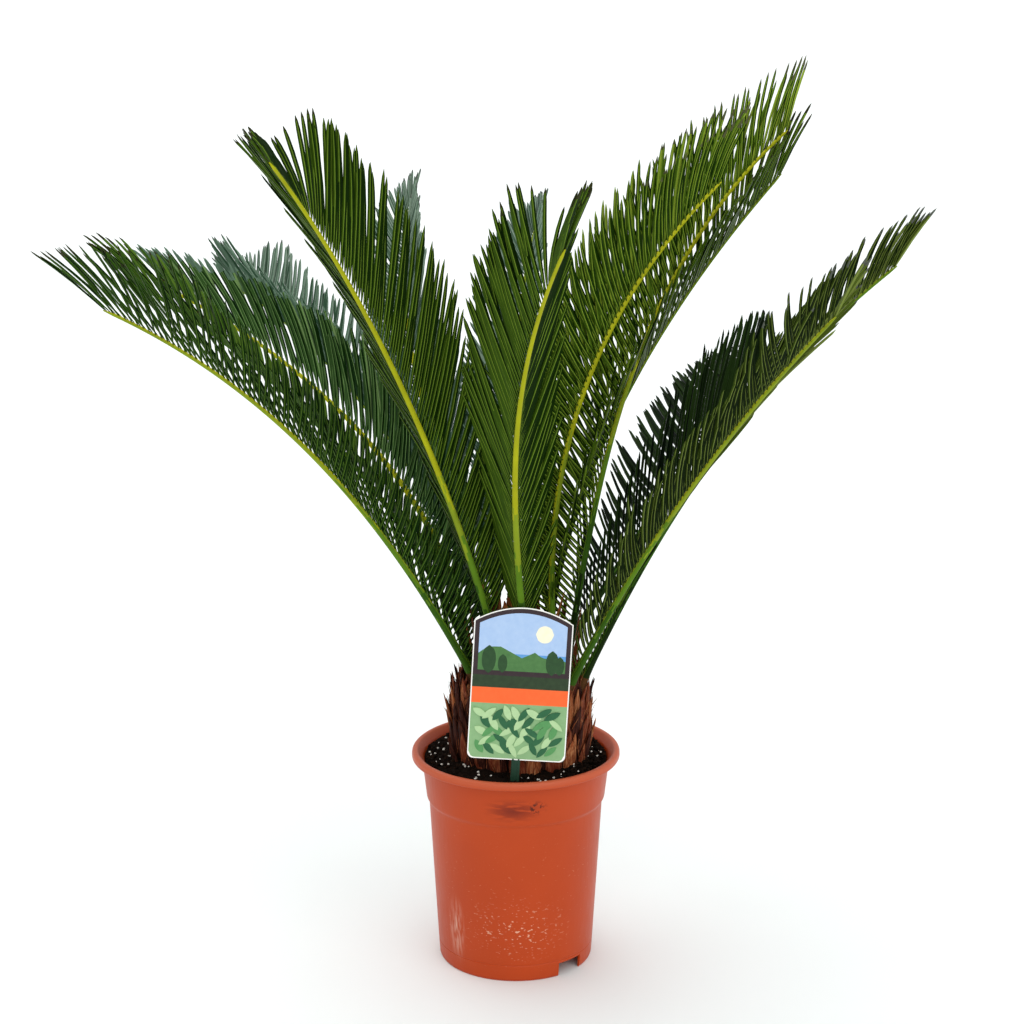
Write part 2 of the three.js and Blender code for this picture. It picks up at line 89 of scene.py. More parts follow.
# Fronds, each by the rule of the solids. tilt turns its leaflets about themselves, and flat, where it
# is there, does so in row 1 instead. leaves names the tones of its leaflets, and stem gives the places
# of its foot and tip in the row of stem tones and the share of its length by which it has turned from
# one to the other. short gives the stretch of a frond where its leaflets are shorter, the share of
# their length that they keep there, and the row that it is for, where 0 is both. sweep is how much
# further its leaflets lean towards its tip, in degrees, broad is how many times as wide they are, and
# sheen is how many more of their stations have the tip's tone, as a painted sheen along their tips.
FRONDS = [
    dict(name="frond_front", seat=(280, 24), heading=259, swing=27, lean=(14, 51),
         bend=0.41, length=524, roll=1, vee=65, leaflet=106, tip=0.66,
         fold=(0.905, 12, 0.02), tilt=55, leaves="mature", stem=(2, 5, 0.45)),
    dict(name="frond_front_left", seat=(232, 25), heading=232, swing=26, lean=(21, 62),
         bend=1.2, length=602, roll=21, vee=62, leaflet=114, tip=0.5,
         fold=(0.85, 9, 0.04), tilt=50, flat=5, leaves="mature", stem=(2, 5, 0.4),
         short=(0.1, 0.72, 0.6, 1)),
    dict(name="frond_front_right", seat=(322, 37), heading=303, swing=41, lean=(-13, 44),
         bend=0.85, length=449, roll=18, vee=51, leaflet=102, tip=0.62,
         fold=(0.95, 30, 0.08), tilt=-20, leaves="fresh", stem=(3, 5, 0.7)),
    dict(name="frond_right_tall", seat=(347, 37), heading=328, swing=35, lean=(9, 48),
         bend=2.25, length=486, roll=-22, vee=58, leaflet=98, tip=0.6,
         fold=(0.97, 38, 0.12), tilt=20, leaves="fresh", stem=(1, 5, 0.7)),
    dict(name="frond_left_low", seat=(206, 41), heading=211, swing=-2, lean=(29, 62),
         bend=1.48, length=460, roll=16, vee=55, leaflet=106, tip=0.64,
         fold=(0.95, 20, 0.1), tilt=60, leaves="deep", stem=(2, 4, 0.6), short=(0.2, 0.75, 0.55, 0)),
    dict(name="frond_right_low", seat=(321, 46), heading=325, swing=-13, lean=(27, 46),
         bend=1.05, length=425, roll=-3, vee=24, leaflet=88, tip=0.6,
         fold=(0.95, 26, 0.1), tilt=-35, leaves="olive", stem=(2, 4, 0.6), short=(0.2, 0.7, 0.8, 0),
         sweep=20),
    dict(name="frond_right_wide", seat=(348, 48), heading=348, swing=-11, lean=(24, 49),
         bend=1.45, length=440, roll=-13, vee=20, leaflet=91, tip=0.58,
         fold=(0.9, 28, 0.1), tilt=-30, leaves="olive", stem=(1, 3, 0.7), short=(0.15, 0.6, 0.7, 0),
         sweep=18),
    dict(name="frond_left_upper", seat=(170, 47), heading=183, swing=-9, lean=(-12, 63),
         bend=0.58, length=417, roll=12, vee=47, leaflet=97, tip=0.5,
         fold=(0.97, 22, 0.1), tilt=-30, leaves="painted_sheen_grey", stem=(1, 5, 0.5), sheen=1),
    dict(name="frond_left_middle", seat=(187, 39), heading=197, swing=-3, lean=(17, 57),
         bend=0.89, length=437, roll=-18, vee=42, leaflet=86, tip=0.6,
         fold=(0.91, 20, 0.1), tilt=-30, leaves="deep", stem=(0, 2, 0.6), short=(0.2, 0.85, 0.35, 0)),
    dict(name="frond_right_upper", seat=(14, 24), heading=8, swing=-27, lean=(-5, 40),
         bend=0.55, length=445, roll=29, vee=42, leaflet=97, tip=0.6,
         fold=(0.92, 24, 0.1), tilt=5, leaves="mature", stem=(0, 3, 0.7)),
    dict(name="frond_back_left", seat=(140, 32), heading=139, swing=-27, lean=(2, 92),
         bend=0.53, length=540, roll=10, vee=58, leaflet=116, tip=0.5,
         fold=(0.95, 22, 0.1), tilt=50, leaves="painted_sheen_blue", stem=(1, 3, 0.5), short=(0.1, 0.75, 0.62, 0)),
    dict(name="frond_back_inner", seat=(117, 25), heading=126, swing=-44, lean=(35, 67),
         bend=0.8, length=534, roll=-16, vee=53, leaflet=98, tip=0.5,
         fold=(0.92, 20, 0.1), tilt=45, leaves="painted_sheen_blue", stem=(2, 4, 0.5), short=(0.4, 1.2, 0.7, 0)),
    dict(name="frond_back", seat=(88, 27), heading=96, swing=-16, lean=(28, 74),
         bend=1, length=505, roll=-15, vee=54, leaflet=93, tip=0.5,
         fold=(0.87, 20, 0.1), tilt=45, leaves="painted_sheen_blue", stem=(1, 3, 0.5), short=(0.4, 1.2, 0.7, 0)),
    # This frond's near-black dark group is painted shade for its place in the crown's shadow.
    dict(name="frond_back_right", seat=(46, 42), heading=45, swing=34, lean=(46, 95),
         bend=1.15, length=505, roll=-43, vee=47, leaflet=96, tip=0.5,
         fold=(0.95, 22, 0.1), tilt=48, leaves="dark", stem=(0, 2, 0.6), broad=1.25),
]
STEM_BURIED = 20
STEM_WIDTHS = (7, 2.3)
STEM_DEPTHS = (7, 2.3)
PATH_STEPS = 80
FIRST_LEAFLET = 0.09
LONGEST_LEAFLET = 0.45
FOOT_LEAFLET_SHARE = 0.12
LEAFLET_ANGLES = (62, 42)
FOLDED_VEE = 72
LEAFLET_ARC = 14
LEAFLET_SPACING = 5.3
LEAFLET_HALF_WIDTH = 1.7
STRAY_SHARE = 0.04
# The short spines below a frond's leaflets: their pairs, the shares of its length between which they
# stand, their length as a share of a leaflet's, and half their width.
SPINE_PAIRS = 5
SPINE_STRETCH = (0.03, 0.083)
SPINE_SIZE = 0.5
SPINE_HALF_WIDTH = 0.9


# ---------------------------------------------------------------------------------------------
# Numbers and meshes.

def lerp(a, b, share):
    """a plus share of the way to b."""
    return a + (b - a) * share


def smoothstep(value, low, high):
    """0 below low and 1 above high, with three squares less two cubes of the share between them."""
    share = np.clip((value - low) / (high - low), 0, 1)
    return share * share * (3 - 2 * share)


def ripples(rng, waves, reach, *coordinates):
    """Smooth random relief from -1 to 1 or so: the sum of cosines of random mixes of the coordinates,
    each with a wave number up to reach and a random phase, over the root of half their count."""
    total = 0.0
    for _ in range(waves):
        phase = rng.uniform(0, 2 * math.pi)
        for coordinate in coordinates:
            phase = phase + rng.uniform(-reach, reach) * coordinate
        total = total + np.cos(phase)
    return total / math.sqrt(waves / 2)


def tubes(rings):
    """Closed tubes from rings of points, as (tube, ring, corner, 3). Each ring is joined to the next by
    four-sided faces, and the first and last ring are closed by one face each. Corners run
    anticlockwise seen from the last ring. Returns points, faces and each face's (tube, ring, corner),
    where a cap has corner -1."""
    count, length, corners, _ = rings.shape
    index = np.arange(count * length * corners).reshape(count, length, corners)
    turned = np.roll(index, -1, axis=2)
    sides = np.stack([index[:, :-1], turned[:, :-1], turned[:, 1:], index[:, 1:]], axis=-1)
    place = np.indices(sides.shape[:3]).reshape(3, -1).T
    first = index[:, 0, ::-1]
    last = index[:, -1]
    caps = np.array([[tube, ring, -1] for ring in (0, length - 2) for tube in range(count)])
    faces = sides.reshape(-1, 4).tolist() + first.tolist() + last.tolist()
    return rings.reshape(-1, 3), faces, np.vstack([place, caps])


def lathe(profile, facets, relief):
    """A profile of (radius, height) turned about Z: x = radius cos(azimuth), y = radius sin(azimuth).
    The profile starts and ends on the axis, where its point becomes a pole. relief moves the radii
    and heights, which are arrays of (profile point, azimuth)."""
    azimuth = np.arange(facets) * 2 * math.pi / facets
    radius = np.repeat(profile[1:-1, :1], facets, axis=1)
    height = np.repeat(profile[1:-1, 1:], facets, axis=1)
    radius, height = relief(radius, height, azimuth[None, :])
    points = np.stack([radius * np.cos(azimuth), radius * np.sin(azimuth), height], axis=-1)
    rows = len(profile) - 2
    index = np.arange(rows * facets).reshape(rows, facets)
    turned = np.roll(index, -1, axis=1)
    sides = np.stack([index[:-1], turned[:-1], turned[1:], index[1:]], axis=-1)
    start, end = rows * facets, rows * facets + 1
    poles = [[0, 0, profile[0, 1]], [0, 0, profile[-1, 1]]]
    fans = [[start, b, a] for a, b in zip(index[0], turned[0])]
    fans += [[end, a, b] for a, b in zip(index[-1], turned[-1])]
    return np.vstack([points.reshape(-1, 3), poles]), sides, fans


def rounded(profile, support=2.2):
    """A profile of (x, y, corner radius) with each corner turned into a short curve: a quadratic curve
    from one radius before the corner to one radius after it, with a further point on either side so
    that the straight runs shade flat."""
    profile = np.asarray(profile, float)
    made = [profile[0, :2]]
    for before, corner, after in zip(profile[:-2], profile[1:-1], profile[2:]):
        point, radius = corner[:2], corner[2]
        if radius == 0:
            made.append(point)
            continue
        back, on = before[:2] - point, after[:2] - point
        reach_back = min(radius, np.linalg.norm(back) * 0.45)
        reach_on = min(radius, np.linalg.norm(on) * 0.45)
        start = point + back / np.linalg.norm(back) * reach_back
        end = point + on / np.linalg.norm(on) * reach_on
        if np.linalg.norm(back) > support * 2 * radius:
            made.append(point + back / np.linalg.norm(back) * radius * support)
        for t in (0, 0.25, 0.5, 0.75, 1):
            made.append((1 - t) ** 2 * start + 2 * t * (1 - t) * point + t * t * end)
        if np.linalg.norm(on) > support * 2 * radius:
            made.append(point + on / np.linalg.norm(on) * radius * support)
    made.append(profile[-1, :2])
    return np.array(made)


def piece(name, points, faces, materials, kinds=None, smooth=True, replaces=()):
    """A mesh object from points in millimetres. kinds gives each face's place in the list of
    materials."""
    mesh = bpy.data.meshes.new(name)
    mesh.from_pydata((np.asarray(points) * MM).tolist(), [], faces)
    for finish in materials:
        mesh.materials.append(finish)
    if kinds is not None:
        mesh.polygons.foreach_set("material_index", np.asarray(kinds, np.int32))
    mesh.polygons.foreach_set("use_smooth", np.full(len(faces), smooth))
    mesh.update()
    made = bpy.data.objects.new(name, mesh)
    bpy.context.scene.collection.objects.link(made)
    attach(made, "root")
    if replaces:
        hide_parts(*replaces)
    return made


def joined(parts):
    """Several (points, faces, kinds) as one, with the later faces' corner numbers moved on."""
    points, faces, kinds, start = [], [], [], 0
    for part_points, part_faces, part_kinds in parts:
        points.append(part_points)
        faces += [[corner + start for corner in face] for face in part_faces]
        kinds.append(np.asarray(part_kinds))
        start += len(part_points)
    return np.vstack(points), faces, np.concatenate(kinds)


# ---------------------------------------------------------------------------------------------
# Finishes.

def linear(hex_colour):
    """An sRGB hex colour as linear red, green, blue and full alpha."""
    values = [int(hex_colour[i : i + 2], 16) / 255 for i in (1, 3, 5)]
    return tuple(v / 12.92 if v <= 0.04045 else ((v + 0.055) / 1.055) ** 2.4 for v in values) + (1,)


def add(tree, kind, inputs=None, **settings):
    """Adds a node with its settings. inputs gives each socket, by name or number, a value or the
    output that is linked to it."""
    made = tree.nodes.new(kind)
    for name, value in settings.items():
        setattr(made, name, value)
    for socket, value in (inputs or {}).items():
        if isinstance(value, bpy.types.NodeSocket):
            tree.links.new(value, made.inputs[socket])
        else:
            made.inputs[socket].default_value = value
    return made


def finish(name, roughness, **sockets):
    """An empty material with its shader. Returns the material, its tree, the shader and the object
    coordinates."""
    made = bpy.data.materials.new(name)
    made.use_nodes = True
    tree = made.node_tree
    shader = tree.nodes["Principled BSDF"]
    shader.inputs["Roughness"].default_value = roughness
    for socket, value in sockets.items():
        shader.inputs[socket.replace("_", " ")].default_value = value
    place = add(tree, "ShaderNodeTexCoord").outputs["Object"]
    return made, tree, shader, place


def mix(tree, share, low, high):
    """The colour between two, by a share."""
    made = add(tree, "ShaderNodeMix", {0: share, 6: low, 7: high}, data_type="RGBA")
    return made.outputs[2]


def noise(tree, place, scale, detail):
    """Smooth random values about 0.5, by place."""
    made = add(tree, "ShaderNodeTexNoise", {"Vector": place, "Scale": scale, "Detail": detail})
    return made.outputs["Fac"]


def drawn_noise(tree, place, scale, detail, turn=0.0):
    """The same with its own scale along each axis, and turned about Y."""
    drawn = add(tree, "ShaderNodeMapping",
                {"Vector": place, "Scale": scale, "Rotation": (0.0, turn, 0.0)})
    return noise(tree, drawn.outputs[0], 1.0, detail)


def ranged(tree, value, low, high, bottom, top):
    """bottom below low and top above high, in a straight line between them."""
    made = add(tree, "ShaderNodeMapRange", {0: value, 1: low, 2: high, 3: bottom, 4: top})
    return made.outputs[0]


def bumped(tree, shader, height, strength, distance):
    """Gives the shader the relief of a height, with its depth in metres."""
    bump = add(tree, "ShaderNodeBump", {"Height": height, "Strength": strength, "Distance": distance})
    tree.links.new(bump.outputs["Normal"], shader.inputs["Normal"])


def leathery_leaf(name, colour, roughness=0.42, gloss=0.03):
    """Cycad leaflet: thick, leathery and waxy, so it has a soft shine along its length. Colour drifts by
    a fifth in soft patches 25 mm across, and a faint 3 mm unevenness breaks the shine."""
    shade = "#{:02x}{:02x}{:02x}".format(*[int(int(colour[i : i + 2], 16) * 0.8) for i in (1, 3, 5)])
    made, tree, shader, place = finish(name, roughness, Specular_IOR_Level=gloss)
    drift = noise(tree, place, 40.0, 2.0)
    tree.links.new(mix(tree, drift, linear(colour), linear(shade)), shader.inputs["Base Color"])
    bumped(tree, shader, noise(tree, place, 330.0, 1.0), 0.12, 0.0006)
    return made


# ---------------------------------------------------------------------------------------------
# Fronds.

def frond_frames(frond, share):
    """Directions of a frond at shares of its length: along the stem, out of the blade's upper face, and
    across the blade. The stem's lean goes from its first angle to its second by the share to the power
    of bend, its heading turns evenly, and the face is turned about the stem by roll."""
    share = np.asarray(share, float)
    lean = np.radians(lerp(*frond["lean"], share ** frond["bend"]))[..., None]
    heading = np.radians(frond["heading"] + frond["swing"] * share)
    out = np.stack([np.cos(heading), np.sin(heading), np.zeros_like(heading)], axis=-1)
    along = UP * np.cos(lean) + out * np.sin(lean)
    face = UP * np.sin(lean) - out * np.cos(lean)
    roll = math.radians(frond["roll"])
    face = face * math.cos(roll) + np.cross(along, face) * math.sin(roll)
    return along, face, np.cross(along, face)


def crown_height(distance):
    """Height of the crown's dome, which falls with the square of the distance from its middle."""
    return CROWN_TOP - CROWN_FALL * (distance / CROWN_RADIUS) ** 2


def stem_points(frond, share):
    """Points on the stem at shares of its length: from the seat on the crown, equal steps in the
    stem's direction at the middle of each step."""
    azimuth, distance = math.radians(frond["seat"][0]), frond["seat"][1]
    seat = [CROWN_X + distance * math.cos(azimuth), distance * math.sin(azimuth), crown_height(distance)]
    along, _, _ = frond_frames(frond, (np.arange(PATH_STEPS) + 0.5) / PATH_STEPS)
    steps = np.cumsum(along, axis=0) * frond["length"] / PATH_STEPS
    points = np.vstack([[seat], seat + steps])
    knots = np.linspace(0, 1, PATH_STEPS + 1)
    return np.stack([np.interp(share, knots, points[:, axis]) for axis in range(3)], axis=-1)


STEM_CORNERS = 12
STEM_FLARE = 16


def stem(frond, rng):
    """A frond's stem: an oval section carried along its path, with a ridge on its upper face. It tapers
    by the share to the power 0.6, and widens to a foot where it leaves the crown. Its tone goes up the
    row of tones smoothly with the share, each face a little before or after its neighbours, and its
    underside is one tone darker, as painted shade."""
    share = np.concatenate([[0], np.linspace(0, 1, 66) ** 1.15])
    middle = stem_points(frond, share)
    along, face, side = frond_frames(frond, share)
    middle[0] -= along[0] * STEM_BURIED
    flare = 1 + 0.55 * np.exp(-((share * frond["length"] / STEM_FLARE) ** 2))
    width = lerp(*STEM_WIDTHS, share**0.6) * flare
    depth = lerp(*STEM_DEPTHS, share**0.6) * flare
    width[-1] *= 0.35
    depth[-1] *= 0.35
    angle = np.arange(STEM_CORNERS) * 2 * math.pi / STEM_CORNERS
    across = np.cos(angle)
    rise = np.sin(angle) * 0.46 + 0.14 + 0.12 * np.maximum(np.sin(angle), 0) ** 8
    rings = (
        middle[:, None]
        - side[:, None] * (across * width[:, None] / 2)[..., None]
        + face[:, None] * (rise * depth[:, None])[..., None]
    )
    points, faces, place = tubes(rings[None])
    top = (place[:, 2] >= 0) & (place[:, 2] < STEM_CORNERS // 2)
    part = share[place[:, 1]]
    low, high, turned = frond["stem"]
    grade = lerp(low, high, smoothstep(part, 0, turned)) + rng.uniform(-0.3, 0.3, len(part))
    # Painted shade: the underside's faces are one tone darker.
    kinds = np.clip(np.rint(grade - ~top), 0, len(STEM_TONES) - 1).astype(int)
    kinds = np.where(part * frond["length"] < 10, len(STEM_TONES), kinds)
    return points, faces, kinds


def leaflet_share(frond, share):
    """A leaflet's length as a share of its frond's longest, which grows fast from the foot and shrinks
    slowly towards the tip."""
    rising = 1 - (1 - FOOT_LEAFLET_SHARE) * np.clip(1 - share / LONGEST_LEAFLET, 0, 1) ** 1.6
    past = np.clip((share - LONGEST_LEAFLET) / (1 - LONGEST_LEAFLET), 0, 1)
    return np.where(share < LONGEST_LEAFLET, rising, 1 - (1 - frond["tip"]) * past**1.8)


LEAFLET_STATIONS = np.array([0, 0.06, 0.2, 0.45, 0.7, 0.86, 0.95, 1])
LEAFLET_WIDTHS = np.array([0.28, 0.55, 0.9, 1, 0.98, 0.86, 0.62, 0.1])
# Corners of a leaflet's section, in half widths across and millimetres up: its left edge, the rib
# on its underside, its right edge, and the rib on its upper face.
LEAFLET_SECTION = np.array([(-1, -0.9), (-0.14, -0.9), (0.14, -0.9), (1, -0.9), (0.14, 0.4), (-0.14, 0.4)])
# The corners that the faces of each part of the section start from. The faces of one half of the upper
# face and of one half of the underside are darker than the other half: painted shade of the fold.
UNDER_PLAIN_HALF, UNDER_SHADED_HALF, TOP_SHADED_HALF = 0, 2, 3
RIB_CORNERS = (1, 4)


def leaflets(frond, rng, share, row, size, half_width):
    """A frond's leaflets, which leave the stem at shares of its length on either side, row 1 or -1. Each
    one lies in the plane of the stem's direction and a direction out of the stem that is raised by
    vee, at an angle to the stem that falls by an arc along the leaflet. Its rolled-edge section is
    carried along that path and turned about it. Returns the section rings."""
    along, face, side = frond_frames(frond, share)
    jitter = rng.normal(0, 1, (5, len(share)))
    jitter[:2] *= np.where(rng.uniform(0, 1, len(share)) < STRAY_SHARE, 4, 1)
    place, folded, spread = frond["fold"]
    shut = smoothstep(share, place - spread, place + spread)
    swept = frond.get("sweep", 0) * (1 - smoothstep(share, 0.6, 0.85))
    angle = lerp(lerp(*LEAFLET_ANGLES, share) - swept, folded, shut)
    angle = angle + jitter[0] * lerp(2.2, 1.2, shut)
    rise = np.radians(lerp(frond["vee"], FOLDED_VEE, shut) + 2.2 * jitter[1])
    outward = side * (row * np.cos(rise))[:, None] + face * np.sin(rise)[:, None]
    length = frond["leaflet"] * leaflet_share(frond, share) * (1 + 0.025 * jitter[2]) * size
    first, last, kept, only = frond.get("short", (0, 0, 1, 0))
    inside = smoothstep(share, first - 0.1, first + 0.1) * (1 - smoothstep(share, last - 0.1, last + 0.1))
    length = length * lerp(1, kept, inside * (row * only >= 0))
    stations = LEAFLET_STATIONS
    bent = np.radians(angle[:, None] - LEAFLET_ARC * stations)
    heading = np.cos(bent)[..., None] * along[:, None] + np.sin(bent)[..., None] * outward[:, None]
    upper = np.cross(outward, along) * row[:, None]
    upper = upper / np.linalg.norm(upper, axis=1, keepdims=True)
    droop = (0.05 * jitter[3] - 0.03)[:, None] * stations**2
    heading = heading + upper[:, None] * droop[..., None]
    steps = (heading[:, 1:] + heading[:, :-1]) / 2 * np.diff(stations)[None, :, None]
    travel = np.concatenate([np.zeros((len(share), 1, 3)), np.cumsum(steps, axis=1)], axis=1)
    width = lerp(*STEM_WIDTHS, share**0.6)
    depth = lerp(*STEM_DEPTHS, share**0.6)
    foot = stem_points(frond, share) + side * (row * width * 0.36)[:, None]
    foot = foot + face * (depth * 0.32)[:, None]
    middle = foot[:, None] + travel * length[:, None, None]
    across = np.cross(upper[:, None], heading)
    across = across / np.linalg.norm(across, axis=2, keepdims=True)
    own_tilt = np.where(row > 0, frond.get("flat", frond["tilt"]), frond["tilt"])
    tilt = np.radians(6 * jitter[4] - row * own_tilt)[:, None] * (0.8 + 0.4 * stations)
    lifted = upper[:, None] * np.cos(tilt)[..., None] + across * np.sin(tilt)[..., None]
    across = np.cross(lifted, heading)
    across = across / np.linalg.norm(across, axis=2, keepdims=True)
    narrow = lerp(0.88, 1, smoothstep(share, 0.08, 0.35)) * lerp(1, 0.72, smoothstep(share, 0.8, 1))
    half = half_width * frond.get("broad", 1) * narrow[:, None] * LEAFLET_WIDTHS
    thick = np.clip(half / LEAFLET_HALF_WIDTH * 1.4, 0.1, 1)
    return (
        middle[:, :, None]
        + across[:, :, None] * (half[..., None] * LEAFLET_SECTION[:, 0])[..., None]
        + lifted[:, :, None] * (thick[..., None] * LEAFLET_SECTION[:, 1])[..., None]
    )


def on_label(points):
    """Points in the label's own directions: across, up and out of its front face."""
    tilt, back = math.radians(LABEL_TILT), math.radians(90 - LABEL_RECLINE)
    moved = points - np.array(LABEL_FOOT)
    raised = np.stack([
        moved[..., 0],
        moved[..., 1] * math.cos(back) + moved[..., 2] * math.sin(back),
        -moved[..., 1] * math.sin(back) + moved[..., 2] * math.cos(back),
    ], axis=-1)
    return np.stack([
        raised[..., 0] * math.cos(tilt) - raised[..., 1] * math.sin(tilt),
        raised[..., 0] * math.sin(tilt) + raised[..., 1] * math.cos(tilt),
        raised[..., 2],
    ], axis=-1)


def off_label(points):
    """The way back from the label's own directions."""
    tilt, back = math.radians(LABEL_TILT), math.radians(90 - LABEL_RECLINE)
    turned = np.stack([
        points[..., 0] * math.cos(tilt) + points[..., 1] * math.sin(tilt),
        -points[..., 0] * math.sin(tilt) + points[..., 1] * math.cos(tilt),
        points[..., 2],
    ], axis=-1)
    return np.stack([
        turned[..., 0],
        turned[..., 1] * math.cos(back) - turned[..., 2] * math.sin(back),
        turned[..., 1] * math.sin(back) + turned[..., 2] * math.cos(back),
    ], axis=-1) + np.array(LABEL_FOOT)


def by_card(points, behind=4):
    """Points beside the label's card, in front of it or up to a distance behind it."""
    card = on_label(points)
    near = (np.abs(card[..., 0]) < LABEL_HALF + 3) & (card[..., 2] > -behind) & (card[..., 2] < 30)
    return near & (card[..., 1] > -3) & (card[..., 1] < LABEL_SHOULDER + LABEL_ARCH + 3)


def blocked(middle):
    """Whether a leaflet's line, as (leaflet, station, 3), meets the label, the pot or the trunk."""
    steps = [lerp(middle[:, :-1], middle[:, 1:], t) for t in (0, 0.25, 0.5, 0.75, 1)]
    fine = np.concatenate(steps, axis=1)
    near = by_card(fine)
    radius = np.hypot(fine[..., 0], fine[..., 1])
    low = (fine[..., 2] < POT_HEIGHT + 4) & (radius < RIM_RADIUS + 4)
    core = np.hypot(fine[..., 0] - CROWN_X, fine[..., 1])
    inside = (core < TRUNK_RADIUS + 2) & (fine[..., 2] < crown_height(core) - 4)
    return (near | low | inside).any(axis=1)


LEAF_TONES = 3
# A leaflet's tone is the number of steps that its darkness passes. Its darkness is random, and grows
# as painted shade near the crown: by the foot's shade constant times the share of the frond by which
# it is below EVEN_SHARE.
TONE_STEPS = (0.34, 0.74)
FOOT_PAINTED_SHADE = 0.5
EVEN_SHARE = 0.35
# The shares of a frond past which the tone of its leaflets' tips reaches one station further down.
TIP_SHARES = (0.8, 0.95)


def frond_leaflets(frond, rng):
    """A frond's leaflets and the short spines below them. A leaflet that meets the label, the pot or the
    trunk is tried shorter, and then left out. Each has one of three tones, the darkest one more often
    towards the foot as painted shade near the crown. One half of its upper face is a tone darker than
    the other, and one half of its underside has the dark tone, both painted shade of its fold."""
    pairs = round(frond["length"] * (1 - FIRST_LEAFLET) / LEAFLET_SPACING)
    share = np.repeat(FIRST_LEAFLET + (1 - FIRST_LEAFLET) * (np.arange(pairs) + 0.5) / pairs, 2)
    share = np.clip(share + rng.normal(0, 0.0007, len(share)), 0, 1)
    share = np.concatenate([np.repeat(np.linspace(*SPINE_STRETCH, SPINE_PAIRS), 2), share])
    row = np.tile([1.0, -1.0], SPINE_PAIRS + pairs)
    size = np.repeat([SPINE_SIZE, 1], [2 * SPINE_PAIRS, 2 * pairs])
    half = np.repeat([SPINE_HALF_WIDTH, LEAFLET_HALF_WIDTH], [2 * SPINE_PAIRS, 2 * pairs])
    seed = int(rng.integers(1 << 30))
    kept, left = [], np.ones(len(share), bool)
    for reach in (1, 0.75, 0.5):
        rings = leaflets(frond, np.random.default_rng(seed), share, row, size * reach, half[:, None])
        clear = left & ~blocked(rings.mean(axis=2)[:, 1:])
        kept.append((rings[clear], share[clear]))
        left &= ~clear
    rings = np.concatenate([one[0] for one in kept])
    share = np.concatenate([one[1] for one in kept])
    points, faces, place = tubes(rings)
    darkness = rng.uniform(0, 1, len(rings)) + FOOT_PAINTED_SHADE * (EVEN_SHARE - share)
    tone = np.digitize(darkness, TONE_STEPS)[place[:, 0]]
    # Painted shade: one half of the upper face a tone darker, and one half of the underside in the dark
    # tone.
    kinds = np.where(place[:, 2] == TOP_SHADED_HALF, np.minimum(tone + 1, LEAF_TONES - 1), tone)
    kinds[place[:, 2] == UNDER_PLAIN_HALF] = LEAF_TONES
    kinds[place[:, 2] == UNDER_SHADED_HALF] = LEAF_TONES - 1
    kinds[np.isin(place[:, 2], RIB_CORNERS)] = LEAF_TONES + 1
    tip = len(LEAFLET_STATIONS) - 1 - np.digitize(share, TIP_SHARES) - frond.get("sheen", 0)
    kinds[place[:, 1] >= tip[place[:, 0]]] = LEAF_TONES + 2
    return points, faces, kinds


# Cycad leaf: deep green above, with a paler rib and a hard tip that is brown or has weathered to grey. In
# the two sheen groups the paler, greyer tones are painted sheen.
LEAF_FINISHES = {
    "fresh": ("#94ac36", "#5e801e", "#1c3804", "#4c6a18", "#96b03a", "#5a5e3c"),
    "mature": ("#708c26", "#466410", "#142c03", "#3c5810", "#76922e", "#34361a"),
    "olive": ("#7c8c40", "#50621c", "#0f2003", "#42541a", "#7c8c44", "#60645a"),
    "deep": ("#5a7c28", "#385c14", "#102c06", "#345410", "#648432", "#343818"),
    # Painted sheen: paler, greyer greens and a grey-green tip for light glancing off the waxy leaflets.
    "painted_sheen_grey": ("#708e54", "#44682e", "#16360e", "#3a5c28", "#7a9c5e", "#64806a"),
    # Painted shade: near-black greens for a frond that stands in the crown's shadow.
    "dark": ("#1c300c", "#0e1e06", "#030e02", "#0e1c07", "#223614", "#14140c"),
    # Painted reflection: blue-grey greens for the white surroundings mirrored at glancing angles by the
    # waxy leaflets.
    "painted_sheen_blue": ("#849a86", "#5e7a64", "#34523c", "#5a765e", "#8ea292", "#5a625a"),
}
LEAF_PARTS = ("pale", "middle", "dark", "under", "rib", "tip")
# The leaf stem's tones, from the dark green of a shaded foot to the bright yellow of a rib in the sun.
STEM_TONES = {
    "shaded": "#1d300e",
    "green": "#3a5f18",
    "fresh": "#5f8420",
    "lime": "#8d9f26",
    "yellow": "#b2b41c",
    "bright": "#c6c62a",
}

rng = np.random.default_rng(20)
stem_finishes = [leathery_leaf(f"leaf_stem_{tone}", colour, 0.5) for tone, colour in STEM_TONES.items()]
stem_finishes.append(leathery_leaf("leaf_stem_foot", "#5a3a1c", 0.8, 0.1))
points, faces, kinds = joined([stem(frond, rng) for frond in FRONDS])
piece("frond_stems", points, faces, stem_finishes, kinds=kinds,
      replaces=[frond["name"] for frond in FRONDS])

leaf_finishes = {
    group: [leathery_leaf(f"leaflet_{group}_{part}", colour) for part, colour in zip(LEAF_PARTS, colours)]
    for group, colours in LEAF_FINISHES.items()
}
for frond in FRONDS:
    points, faces, kinds = frond_leaflets(frond, rng)
    piece(frond["name"].replace("frond", "leaflets"), points, faces, leaf_finishes[frond["leaves"]],
          kinds=kinds, replaces=[frond["name"]])

# ---------------------------------------------------------------------------------------------
# Pot.

POT_FACETS = 160
NOTCH_COLUMNS = 5


def soft_plastic(radius, height, azimuth):
    """The pot's thin wall gives a little, so that its radius goes in and out by half a millimetre, more
    so towards the rim."""
    share = height / POT_HEIGHT
    moved = radius + 0.55 * np.cos(2 * azimuth - 1.1) * share**2 + 0.3 * np.cos(3 * azimuth + 1) * share**4
    return np.where(radius > DISC_RADIUS + 5, moved, radius), height


